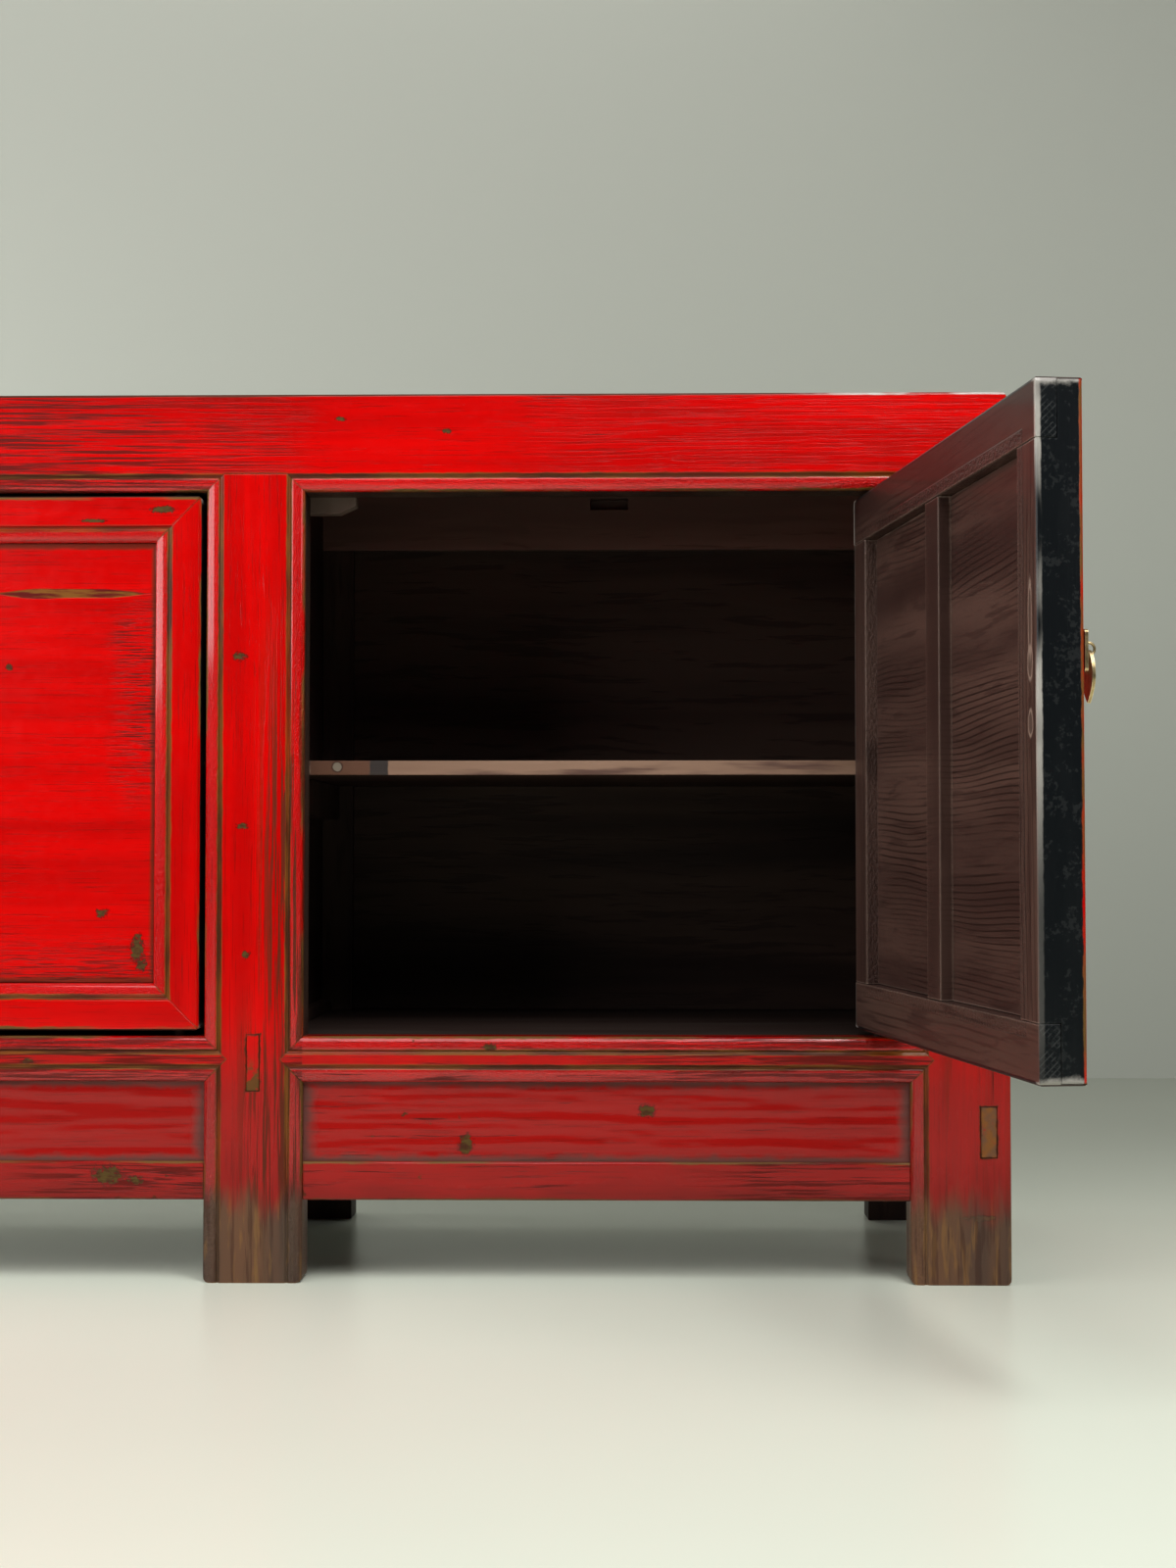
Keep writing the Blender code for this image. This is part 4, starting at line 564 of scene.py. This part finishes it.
def lower_rail_finish():
    finish = Finish("lacquer_lower_rail")
    arris = least(minus(APRON_BOTTOM, finish.z), minus(finish.z, FOOT_HEIGHT))
    lacquer(finish, "X", streaks=0.60, wear=0.56, arris=at_front(finish, arris, RAIL_LIP_DEPTH), chips=0.14)
    scratch_bays(finish, 0.86, 0.34, 0.44)
    # Darker towards the bottom edge of the rail.
    darker_to_bottom = ramp(finish.ragged(finish.z, 30.0, 0.05, "X"), 0.098, 0.076)
    finish.lay(times(darker_to_bottom, 0.5), RED_BROWN, 0.4)
    finish.chips(((0.1985, 0.1005, 0.0140, 0.0075), (0.2240, 0.0960, 0.0070, 0.0036),
                  (-0.6630, 0.0990, 0.0080, 0.0042)), 0.006)
    return finish.done()


def apron_finish():
    finish = Finish("lacquer_apron")
    lacquer(finish, "X", streaks=0.50, wear=0.50, chips=0.12)
    across = across_bay(finish)
    side = least(across, minus(PITCH - LEG_WIDTH, across))
    end = least(minus(finish.z, APRON_BOTTOM), minus(APRON_TOP, finish.z))
    # Dust and painted shade: a grey-brown band round the sunk panel, next to the frame.
    dust_and_shade = ramp(finish.ragged(least(times(side, 0.55), end), 60.0, 0.010), 0.0085, 0.0010)
    finish.lay(times(dust_and_shade, 0.82), DUST_AND_SHADE, 0.55, None, 0.15)
    finish.chips(((0.7126, 0.1631, 0.0070, 0.0055), (0.5397, 0.1304, 0.0055, 0.0085),
                  (0.0350, 0.1420, 0.0060, 0.0030), (-0.6840, 0.1560, 0.0080, 0.0040)), 0.0095)
    return finish.done()


def side_rail_finish():
    finish = Finish("lacquer_side_rail")
    lacquer(finish, "Y", streaks=0.42, wear=0.52, chips=0.14)
    worn = ramp(finish.noise(110.0, 3.0), 0.28, 0.42)
    tenon = times(ramp(finish.y, TENON_FLUSH[1], TENON_FLUSH[0]), worn)
    brown = blend(ramp(finish.noise(90.0, 3.0), 0.40, 0.60), FOOT_BROWN, WORN_GOLD)
    finish.lay(times(tenon, 0.95), brown, 0.5, None, BARE_COAT)
    tenon_outline(finish, *SIDE_TENON)
    return finish.done()


def top_finish():
    finish = Finish("lacquer_top")
    lacquer(finish, "X", streaks=0.44, wear=0.50, chips=0.18)
    dull_top(finish)
    return finish.done()


def end_rail_finish():
    finish = Finish("lacquer_top_end")
    outward = ramp(calc("ABSOLUTE", finish.x), WIDTH / 2 - 0.004, WIDTH / 2 - 0.006)
    arris = plus(minus(HEIGHT, finish.z), outward)
    lacquer(finish, "Y", streaks=0.42, wear=0.54, arris=arris, chips=0.14)
    dull_top(finish)
    return finish.done()


# Bare wood of the inside and the back
def bare_wood(finish, axis, light=INSIDE_BROWN, dark=INSIDE_DARK, mask=None, rough=0.55):
    """Dark old wood; with a mask it covers only a part of what is there."""
    grain = finish.grain(axis, Density=105.0, Stretch=13.0, Sway=0.03, Coverage=0.72)
    colour = blend(ramp(grain["Bands"], 0.32, 0.68), dark, light)
    colour = blend(times(grain["Lines"], 0.6), colour, dark)
    fibre = times(minus(grain["Fibre"], grain["Lines"]), 0.25)
    if mask is None:
        finish.colour, finish.rough, finish.height = colour, rough, fibre
    else:
        finish.lay(mask, colour, rough, None, 0.10)
    return grain


def board_finish(name, axis, light=INSIDE_BROWN, dark=INSIDE_DARK):
    finish = Finish(name)
    bare_wood(finish, axis, light, dark)
    return finish.done()


def partition_finish():
    """Bare board; its tenon ends come through to the lacquered front, its stop block is painted a lit grey."""
    finish = Finish("partition_wood")
    lacquer(finish, "Z", streaks=0.5, wear=0.5)
    tenon_outline(finish, *PARTITION_TENON)
    low = ramp(finish.ragged(finish.z, 60.0, 0.03), 0.214, 0.204)
    rubbed = times(low, ramp(finish.noise(120.0), 0.35, 0.5))
    finish.lay(times(rubbed, 0.9), CHIP_OLIVE, 0.5, None, BARE_COAT)
    behind = ramp(finish.y, *TENON_FLUSH)
    bare_wood(finish, "Z", mask=behind)
    # Painted light: the stop block is painted grey, as lit from below by the floor.
    block = times(ramp(finish.z, 0.7395, 0.7405),
                  ramp(finish.y, FRONT_Y + 0.0590, FRONT_Y + 0.0580), behind)
    finish.lay(block, blend(finish.noise(60.0, 4.0), STOP_BLOCK_LIT_GREY, BACK_BROWN), 0.6)
    return finish.done()


def side_panel_finish():
    finish = Finish("side_panel_lacquer")
    lacquer(finish, "Z", streaks=0.42, wear=0.50, chips=0.16)
    inside = ramp(calc("ABSOLUTE", finish.x), SIDE_OUTER - 0.0035, SIDE_OUTER - 0.0045)
    bare_wood(finish, "Z", mask=inside)
    return finish.done()


def top_rear_finish():
    finish = Finish("top_rear_rail_wood")
    lacquer(finish, "X", streaks=0.42, wear=0.52, chips=0.16)
    below = ramp(finish.z, HEIGHT - 0.0028, HEIGHT - 0.0036)
    bare_wood(finish, "X", REAR_RAIL_BROWN, FRAME_BROWN, below)
    dull_top(finish)
    return finish.done()


def shelf_finish():
    """Dark boards with a paler, patched front edge."""
    finish = Finish("shelf_wood")
    grain = bare_wood(finish, "X")
    low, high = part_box("shelf_right")
    across = across_bay(finish)
    edge = ramp(finish.y, low.y + 0.0016, low.y + 0.0006)
    pale = blend(ramp(grain["Bands"], 0.30, 0.70), SHELF_DARK, SHELF_EDGE)
    pale = blend(ramp(finish.streak("X", 60.0, 9.0), 0.52, 0.70), pale, BACK_BROWN)
    finish.lay(times(edge, 0.95), pale, 0.5)
    finish.lay(times(edge, ramp(finish.ragged(across, 60.0, 0.006), 0.059, 0.057)), SHELF_DARK, 0.5)
    iron = band(finish.ragged(across, 120.0, 0.003), 0.058, 0.076, 0.0008)
    finish.lay(times(edge, iron, 0.9), IRON, 0.4)
    middle = (low.z + high.z) / 2
    peg_x = WIDTH / 2 - PITCH + 0.026
    peg = finish.patch((peg_x, low.y, middle + 0.001), (0.0046, 0.004, 0.0046), 0.15, 200.0)
    finish.lay(times(peg["Rim"], edge, 0.8), HOLLOW_DARK)
    finish.lay(times(peg["Mask"], edge), PEG_PALE, 0.5)
    return finish.done()


# Doors: lacquer in front, black paint round the edge, bare behind
HINGE_SIDE = {"left": -1.0, "middle": 1.0, "right": 1.0}
BARE_DEPTH = (0.0125, 0.0135)
BATTEN_DEPTH = (0.0262, 0.0270)
LAP_DEPTH = (0.0195, 0.0205)
LAP_HEIGHT = (0.0455, 0.0445)
HATCH_DENSITY = 1250.0


def door_middle(bay):
    """Middle of a door across the front, in its closed place."""
    pivot_x = joints[bay + "_door_hinge"]["pos_m"][0]
    return pivot_x + HINGE_SIDE[bay] * (HINGE_INSET - DOOR_WIDTH / 2)


def door_place(bay):
    """Turns an open door's coordinates back to its closed place."""
    if bay != "right":
        return None
    pivot = Vector(joints["right_door_hinge"]["pos_m"])
    pivot.z = 0.0
    turned = Matrix.Rotation(-OPEN_ANGLE, 3, "Z") @ pivot
    return -OPEN_ANGLE, tuple(pivot - turned)


def door_finish(bay, part, axis):
    finish = Finish(bay + "_door_" + part + "_lacquer", door_place(bay))
    depth = minus(finish.y, DOOR_FRONT)
    across = away(finish.x, door_middle(bay))
    side = minus(DOOR_WIDTH / 2, across)
    up = away(finish.z, (DOOR_TOP + DOOR_BOTTOM) / 2)
    end = minus((DOOR_TOP - DOOR_BOTTOM) / 2, up)
    inset = least(side, end)
    if part == "panel":
        panel_front(finish, bay, axis, minus(inset, DOOR_MEMBER))
    else:
        lacquer(finish, axis, streaks=0.38, wear=0.56, quirk=minus(DOOR_MEMBER, inset), arris=inset,
                chips=0.12)
    if (bay, part) == ("middle", "rail"):
        finish.chips(((0.2470, 0.7395, 0.0110, 0.0030), (0.1800, 0.7285, 0.0100, 0.0015),
                      (-0.1320, 0.7350, 0.0070, 0.0022), (-0.0460, 0.2640, 0.0060, 0.0024)), 0.009)
    behind = ramp(depth, *BARE_DEPTH)
    if part == "panel":
        bare_wood(finish, axis, BACK_BROWN, BACK_MIDDLE, behind, 0.42)
        growth_rings(finish, axis, 0.0054, behind)
        batten = times(ramp(depth, *BATTEN_DEPTH), 0.8)
        bare_wood(finish, "Z", FRAME_BROWN, BACK_MIDDLE, batten, 0.40)
    else:
        bare_wood(finish, axis, FRAME_BROWN, BACK_MIDDLE, behind, 0.42)
        growth_rings(finish, axis, 0.0090, times(behind, 0.7))
    shade = times(behind, ramp(finish.ragged(finish.z, 9.0, 0.20), 0.56, 0.76), 0.45)
    finish.lay(shade, BACK_DARK)
    # Painted highlight: the arrises of the back are painted a pale brown.
    rubbed = finish.effect(WEAR, Width=0.0028, Reach=0.84)["Edge"]
    finish.lay(times(rubbed, behind, 0.8), BACK_PALE_MARK_AND_HIGHLIGHT, 0.35, None, 0.2)
    if part == "stile":
        stile_knots(finish, bay, behind)
    door_edge(finish, depth, side, end, inset)
    return finish.done()


def growth_rings(finish, axis, spacing, mask):
    """Dark growth rings on the back of a door."""
    rings = finish.effect(RINGS, finish.along(axis), Spacing=spacing, Sway=0.050)["Lines"]
    finish.lay(times(rings, mask, 0.92), BACK_DARK)


def stile_knots(finish, bay, behind):
    """Pale oval marks on the back of the pull stile."""
    free_x = door_middle(bay) - HINGE_SIDE[bay] * (DOOR_WIDTH / 2 - 0.016)
    for z, wide, high in ((0.578, 0.0036, 0.0240), (0.545, 0.0050, 0.0100), (0.501, 0.0046, 0.0088)):
        mark = finish.patch((free_x, DOOR_FRONT + DOOR_THICKNESS, z), (wide, 0.03, high), 0.30, 90.0)
        ring = minus(mark["Rim"], times(mark["Mask"], 0.8))
        finish.lay(times(ring, behind, 0.85), BACK_PALE_MARK_AND_HIGHLIGHT)


def panel_front(finish, bay, axis, inward):
    """Sunk door panel: a painted shadow of the moulding round its edge, and on the middle door a crack, fine
    dashes and chips.
    """
    lacquer(finish, axis, streaks=0.26, wear=0.5, chips=0.08)
    # Painted shadow of the moulding, laid dark along the panel's edge.
    painted_moulding_shadow = ramp(finish.ragged(inward, 50.0, 0.0050, "Z"), 0.0062, 0.0018)
    finish.lay(times(painted_moulding_shadow, 0.75), QUIRK_DARK, 0.4, None, 0.15)
    if bay != "middle":
        return
    dashes = finish.grain("X", Density=560.0, Stretch=24.0, Sway=0.004, Coverage=0.84)
    height_off = away(finish.ragged(finish.z, 20.0, 0.10), 0.560)
    right = ramp(finish.ragged(finish.x, 60.0, 0.03, "X"), 0.186, 0.218)
    field = times(right, ramp(height_off, 0.130, 0.040))
    foot = times(ramp(finish.ragged(finish.z, 30.0, 0.03, "X"), 0.345, 0.300), 0.8)
    finish.lay(times(dashes["Lines"], most(field, foot), 0.85), LINE_DARK, 0.4, -0.3, BARE_COAT)
    taper = ramp(away(finish.x, 0.1560), 0.086, 0.030, 0.0, 0.0050)
    off = away(finish.ragged(finish.z, 42.0, 0.006, "X"), 0.6590)
    crack = ramp(minus(off, taper), 0.0004, -0.0010)
    split = blend(ramp(finish.streak("X", 160.0, 8.0), 0.42, 0.58), QUIRK_BROWN, RED_BROWN)
    finish.lay(crack, split, 0.5, -0.8, BARE_COAT)
    finish.chips(((0.1892, 0.3510, 0.0050, 0.0036), (0.2238, 0.3155, 0.0050, 0.0125),
                  (0.2270, 0.3010, 0.0052, 0.0048), (0.0972, 0.5875, 0.0036, 0.0026)), 0.009)


def door_edge(finish, depth, side, end, inset):
    """Black paint on the edges, scuffed, with end grain at the corners and a worn back arris; both are painted
    pale, partly as a painted highlight, which on the back arris fades downwards.
    """
    rim = ramp(finish.ragged(inset, 70.0, 0.0012), 0.0022, 0.0010)
    painted = times(rim, ramp(finish.ragged(depth, 70.0, 0.0030), 0.0026, 0.0038))
    scuff = finish.effect(CHIPS, finish.along("Z"), Scale=260.0, Amount=0.54)["Mask"]
    smear = ramp(finish.streak("Z", 40.0, 5.0), 0.45, 0.75)
    black = blend(most(times(scuff, 0.26), times(smear, 0.06)), BLACK, SCUFF)
    finish.lay(painted, black, 0.34, None, 0.12)
    slant = times(plus(finish.y, finish.z), HATCH_DENSITY)
    counter = times(minus(finish.y, finish.z), HATCH_DENSITY)
    hatch = most(calc("SINE", slant), times(calc("SINE", counter), 0.6))
    lap = times(ramp(depth, *LAP_DEPTH), ramp(end, *LAP_HEIGHT), painted)
    broken = ramp(finish.noise(140.0, 3.0), 0.40, 0.58)
    finish.lay(times(lap, ramp(hatch, 0.3, 1.0), broken, 0.7), SCUFF)
    # Pale corners: worn end grain with a painted highlight.
    near_end = ramp(finish.ragged(end, 60.0, 0.016), 0.006, 0.001)
    corner = times(painted, near_end, ramp(side, 0.012, 0.004))
    finish.lay(times(corner, 0.7), PALE_WEAR_AND_HIGHLIGHT, 0.45)
    # Back arris: worn, and painted pale as a highlight that fades downwards.
    back = ramp(finish.ragged(depth, 80.0, 0.0024), DOOR_THICKNESS - 0.0046, DOOR_THICKNESS - 0.0030)
    arris = times(back, ramp(side, 0.0040, 0.0028), ramp(finish.streak("Z", 12.0, 3.0), 0.38, 0.50),
                  ramp(finish.z, 0.36, 0.52, 0.12, 0.9))
    finish.lay(arris, PALE_WEAR_AND_HIGHLIGHT, 0.35, None, 0.4)
    finish.lay(ramp(end, 0.0, -0.0006), HOLLOW_DARK, 0.6, None, 0.0)


def brass_finish():
    finish = Finish("old_brass")
    cloud = finish.noise(160.0, 4.0, 0.6)
    finish.colour = blend(ramp(cloud, 0.35, 0.7), BRASS_DULL, BRASS_BRIGHT)
    worn = finish.effect(WEAR, Width=0.0012, Reach=0.75)
    finish.lay(worn["Hollow"], BRASS_HOLLOW)
    finish.lay(worn["Edge"], BRASS_WORN)
    finish.rough = fade(cloud, 0.22, 0.42)
    finish.height = times(cloud, 0.15)
    return finish.done(metallic=1.0)


# Hand-planed surfaces
def ripple_tree():
    """Geometry nodes that press shallow plane marks into the faces that look along Front."""
    tree = bpy.data.node_groups.new("Planed ripple", "GeometryNodeTree")
    for label, kind, value in (("Geometry", "Geometry", None), ("Front", "Vector", (0.0, -1.0, 0.0)),
                               ("Depth", "Float", 0.001), ("Marks", "Vector", (7.0, 1.0, 70.0)),
                               ("Seed", "Float", 0.0), ("Finish", "Material", None)):
        socket = tree.interface.new_socket(label, in_out="INPUT", socket_type="NodeSocket" + kind)
        if value is not None:
            socket.default_value = value
    tree.interface.new_socket("Geometry", in_out="OUTPUT", socket_type="NodeSocketGeometry")
    given = put(tree, "NodeGroupInput").outputs
    normal = put(tree, "GeometryNodeInputNormal").outputs[0]
    facing = put(tree, "ShaderNodeVectorMath", {0: normal, 1: given["Front"]},
                 operation="DOT_PRODUCT").outputs["Value"]
    chosen = put(tree, "FunctionNodeCompare", {0: facing, 1: 0.95}, data_type="FLOAT",
                 operation="GREATER_THAN").outputs[0]
    scaled = vector_calc("MULTIPLY", put(tree, "GeometryNodeInputPosition").outputs[0], given["Marks"])
    marks = put(tree, "ShaderNodeTexNoise", {"Vector": scaled, "W": given["Seed"], "Scale": 1.0, "Detail": 4.0,
                                             "Roughness": 0.62}, noise_dimensions="4D").outputs["Fac"]
    depth = times(ramp(marks, 0.30, 0.70, 0.0, -1.0), given["Depth"])
    offset = put(tree, "ShaderNodeVectorMath", {0: given["Front"], "Scale": depth}, operation="SCALE").outputs[0]
    moved = put(tree, "GeometryNodeSetPosition", {"Geometry": given["Geometry"], "Selection": chosen,
                                                  "Offset": offset}).outputs[0]
    real = put(tree, "GeometryNodeRealizeInstances", {"Geometry": moved}).outputs[0]
    dressed_up = put(tree, "GeometryNodeSetMaterial", {"Geometry": real, "Material": given["Finish"]}).outputs[0]
    put(tree, "NodeGroupOutput", {"Geometry": dressed_up})
    return tree


RIPPLE = ripple_tree()


def cut_grid(bm, low, high, step):
    """Cuts a mesh into a grid across its front, so that it can take plane marks."""
    for axis in (0, 2):
        direction = Vector((1.0, 0.0, 0.0)) if axis == 0 else Vector((0.0, 0.0, 1.0))
        count = int((high[axis] - low[axis]) / step)
        for index in range(1, count):
            place = direction * (low[axis] + index * step)
            bmesh.ops.bisect_plane(bm, geom=[*bm.verts, *bm.edges, *bm.faces], plane_co=place, plane_no=direction,
                                   dist=0.00001)


def planed(mesh, material, turn, step, depth, marks, seed):
    """Plane marks on a mesh; turn takes it to its closed place and back."""
    mesh.transform(turn)
    bm = bmesh.new()
    bm.from_mesh(mesh)
    spots = [[vert.co[axis] for vert in bm.verts] for axis in range(3)]
    cut_grid(bm, [min(spot) for spot in spots], [max(spot) for spot in spots], step)
    bm.to_mesh(mesh)
    bm.free()
    holder = bpy.data.objects.new(mesh.name + "_planing", mesh)
    bpy.context.scene.collection.objects.link(holder)
    modifier = holder.modifiers.new("planing", "NODES")
    modifier.node_group = RIPPLE
    sockets = {item.name: item.identifier for item in RIPPLE.interface.items_tree if item.in_out == "INPUT"}
    for label, value in (("Depth", depth), ("Marks", marks), ("Seed", seed), ("Finish", material)):
        modifier[sockets[label]] = value
    depsgraph = bpy.context.evaluated_depsgraph_get()
    made = bpy.data.meshes.new_from_object(holder.evaluated_get(depsgraph))
    bpy.data.objects.remove(holder)
    made.transform(turn.inverted())
    return made


# Finished copies of the CAD pieces
SMOOTH_ANGLE = math.radians(32.0)
ARRIS_ROUND = 0.0008
ARRIS_LEAST = 0.012
ARRIS_ANGLES = (math.radians(50.0), math.radians(130.0))
MERGE_DISTANCE = 0.00002
FLAT_ANGLE = math.radians(0.3)


def long_arrises(bm):
    """Convex edges, about square, that are long enough to round."""
    return [edge for edge in bm.edges if edge.is_manifold and edge.is_convex and edge.calc_length() > ARRIS_LEAST
            and ARRIS_ANGLES[0] < edge.calc_face_angle() < ARRIS_ANGLES[1]]


def soften(bm):
    """Rounds the long sharp arrises a little."""
    bmesh.ops.bevel(bm, geom=long_arrises(bm), offset=ARRIS_ROUND, offset_type="OFFSET", segments=2, profile=0.5,
                    affect="EDGES", clamp_overlap=False)


def even_shading(mesh):
    """Smooth shading that keeps the broad faces flat."""
    for face in mesh.polygons:
        face.use_smooth = True
    mesh.set_sharp_from_angle(angle=SMOOTH_ANGLE)
    holder = bpy.data.objects.new("shading", mesh)
    bpy.context.scene.collection.objects.link(holder)
    modifier = holder.modifiers.new("shading", "WEIGHTED_NORMAL")
    modifier.keep_sharp = True
    made = bpy.data.meshes.new_from_object(holder.evaluated_get(bpy.context.evaluated_depsgraph_get()))
    bpy.data.objects.remove(holder)
    return made


def dressed(name, material, round_arrises=True, planing=None):
    """A merged, smooth-shaded copy of a CAD piece that stands in its place."""
    mesh = nodes[name].data.copy()
    mesh.materials.clear()
    bm = bmesh.new()
    bm.from_mesh(mesh)
    bmesh.ops.remove_doubles(bm, verts=bm.verts, dist=MERGE_DISTANCE)
    bmesh.ops.dissolve_limit(bm, angle_limit=FLAT_ANGLE, verts=bm.verts, edges=bm.edges)
    if round_arrises:
        soften(bm)
    bm.to_mesh(mesh)
    bm.free()
    if planing:
        mesh = planed(mesh, material, **planing)
    else:
        mesh.materials.append(material)
    mesh = even_shading(mesh)
    mesh.name = name + "_finished"
    piece = bpy.data.objects.new(name + "_finished", mesh)
    bpy.context.scene.collection.objects.link(piece)
    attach(piece, body_of_node[name])
    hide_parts(name)


def closing_turn(bay):
    """Takes a door to its closed place."""
    pivot = Vector(joints[bay + "_door_hinge"]["pos_m"])
    angle = OPEN_ANGLE if bay == "right" else 0.0
    return Matrix.Translation(pivot) @ Matrix.Rotation(-angle, 4, "Z") @ Matrix.Translation(-pivot)


def dress_doors(brass):
    for index, bay in enumerate(BAYS):
        stile = door_finish(bay, "stile", "Z")
        level = door_finish(bay, "rail", "X")
        for part, material in (("hinge_stile", stile), ("pull_stile", stile),
                               ("top_rail", level), ("bottom_rail", level)):
            dressed(bay + "_door_" + part, material)
        dressed(bay + "_door_panel", door_finish(bay, "panel", "X"),
                planing={"turn": closing_turn(bay), "step": 0.008, "depth": 0.0005,
                         "marks": (5.0, 1.0, 36.0), "seed": 4.0 + index})
        for part in ("pull_plate", "pull_drop"):
            dressed(bay + "_door_" + part, brass, round_arrises=False)


def dress_cabinet():
    leg, sill, lower, apron = leg_finish(), sill_finish(), lower_rail_finish(), apron_finish()
    end_rail, side_rail, side_panel = end_rail_finish(), side_rail_finish(), side_panel_finish()
    partition, shelf = partition_finish(), shelf_finish()
    upright, level = board_finish("inside_wood_upright", "Z"), board_finish("inside_wood_level", "X")
    floor_board = board_finish("floor_board_wood", "X", FLOOR_BROWN, INSIDE_DARK)
    for name in LEGS:
        dressed("front_leg_" + name, leg)
        dressed("rear_leg_" + name, upright)
    dressed("top_front_rail", top_rail_finish())
    dressed("top_panel", top_finish())
    dressed("top_rear_rail", top_rear_finish())
    dressed("rear_rail", level)
    for side in ("left", "right"):
        dressed("top_end_rail_" + side, end_rail)
        dressed("side_rail_" + side, side_rail)
        dressed("side_panel_" + side, side_panel)
        dressed("partition_" + side, partition)
    for index, bay in enumerate(BAYS):
        dressed("bottom_rail_" + bay, sill)
        dressed("apron_panel_" + bay, apron,
                planing={"turn": Matrix.Identity(4), "step": 0.003, "depth": 0.0015, "marks": (4.0, 1.0, 105.0),
                         "seed": 1.0 + index})
        dressed("lower_rail_" + bay, lower)
        dressed("floor_board_" + bay, floor_board)
        dressed("shelf_" + bay, shelf)
        dressed("back_panel_" + bay, level)
    dress_doors(brass_finish())


# Floor, backdrop, light and camera
def plain_mesh(name, corners, material):
    mesh = bpy.data.meshes.new(name)
    mesh.from_pydata(corners, [], [tuple(range(len(corners)))])
    mesh.materials.append(material)
    made = bpy.data.objects.new(name, mesh)
    bpy.context.scene.collection.objects.link(made)


def floor_material():
    """Pale floor with painted shade: darker towards the wall and far in front, where the lamps light it less."""
    material = bpy.data.materials.new("pale_floor")
    material.use_nodes = True
    tree = material.node_tree
    shader = tree.nodes["Principled BSDF"]
    at = put(tree, "ShaderNodeTexCoord").outputs["Object"]
    cloud = noise_value(at, 1.6, 4.0)
    pale = blend(cloud, FLOOR_PALE, FLOOR_PALER)
    back = put(tree, "ShaderNodeSeparateXYZ", {0: at}).outputs[1]
    # Painted shade: the floor darkens towards the wall and towards the camera.
    far = ramp(back, FRONT_Y - 0.3, FRONT_Y + 1.4)
    pale = blend(ramp(back, FRONT_Y - 0.8, FRONT_Y - 2.0), pale, FLOOR_NEAR_SHADED)
    tree.links.new(blend(far, pale, FLOOR_FAR_SHADED), shader.inputs["Base Color"])
    shader.inputs["Roughness"].default_value = 0.28
    shader.inputs["Specular IOR Level"].default_value = 0.25
    return material


def backdrop_material():
    """Pale wall, seen from its front only."""
    material = bpy.data.materials.new("pale_backdrop")
    material.use_nodes = True
    tree = material.node_tree
    shader = tree.nodes["Principled BSDF"]
    shader.inputs["Base Color"].default_value = WALL_PALE
    shader.inputs["Roughness"].default_value = 0.9
    clear = put(tree, "ShaderNodeBsdfTransparent").outputs[0]
    behind = put(tree, "ShaderNodeNewGeometry").outputs["Backfacing"]
    both = put(tree, "ShaderNodeMixShader", {0: behind, 1: shader.outputs[0], 2: clear}).outputs[0]
    tree.links.new(both, tree.nodes["Material Output"].inputs["Surface"])
    return material


def area_light(name, place, aim, size, power):
    lamp = bpy.data.lights.new(name, "AREA")
    lamp.shape = "RECTANGLE"
    lamp.size, lamp.size_y = size
    lamp.energy = power
    made = bpy.data.objects.new(name, lamp)
    made.location = place
    made.rotation_euler = (Vector(aim) - Vector(place)).to_track_quat("-Z", "Y").to_euler()
    made.visible_camera = False
    bpy.context.scene.collection.objects.link(made)


STAGE_REACH, WALL_HEIGHT = 9.0, 6.0
WALL_Y = FRONT_Y + 2.04
WORLD_STRENGTH = 0.04


def set_stage():
    reach, wall_y, top = STAGE_REACH, WALL_Y, WALL_HEIGHT
    plain_mesh("floor", [(-reach, -reach, 0), (reach, -reach, 0), (reach, reach, 0), (-reach, reach, 0)],
               floor_material())
    plain_mesh("backdrop", [(-reach, wall_y, 0), (reach, wall_y, 0), (reach, wall_y, top), (-reach, wall_y, top)],
               backdrop_material())
    area_light("overhead_softbox", (1.05, FRONT_Y - 1.6, 2.7), (0.70, FRONT_Y - 0.3, 0.30), (3.0, 2.2), 70)
    area_light("right_strip", (1.3, FRONT_Y - 1.3, 2.3), (0.95, FRONT_Y, 0.3), (0.4, 0.9), 14)
    area_light("left_softbox", (-1.5, FRONT_Y - 1.2, 1.15), (0.2, FRONT_Y + 0.1, 1.25), (2.4, 0.85), 29)
    area_light("right_softbox", (3.4, FRONT_Y - 2.4, 1.75), (0.7, FRONT_Y, 0.5), (0.8, 1.5), 12)
    area_light("backdrop_softbox", (-1.8, FRONT_Y + 0.6, 1.10), (-0.8, wall_y, 0.45), (2.2, 1.0), 31)
    area_light("rear_softbox", (0.0, FRONT_Y + 1.9, 2.5), (0.0, FRONT_Y + 0.5, 0.4), (2.4, 0.6), 11)
    world = bpy.data.worlds.new("studio")
    world.use_nodes = True
    world.node_tree.nodes["Background"].inputs["Color"].default_value = WORLD_PALE
    world.node_tree.nodes["Background"].inputs["Strength"].default_value = WORLD_STRENGTH
    bpy.context.scene.world = world
    bpy.context.scene.view_settings.view_transform = "Standard"


CAMERA_PLACE = (0.6958, FRONT_Y - 2.1442, 0.401)
CAMERA_TILT, CAMERA_PAN = 0.0342, 0.0184
SENSOR_WIDTH, LENS = 36.0, 51.61


def set_camera():
    camera = bpy.data.cameras.new("camera")
    camera.sensor_width = SENSOR_WIDTH
    camera.lens = LENS
    made = bpy.data.objects.new("camera", camera)
    made.location = CAMERA_PLACE
    made.rotation_euler = (math.pi / 2 + CAMERA_TILT, 0.0, CAMERA_PAN)
    bpy.context.scene.collection.objects.link(made)
    bpy.context.scene.camera = made


dress_cabinet()
set_stage()
set_camera()
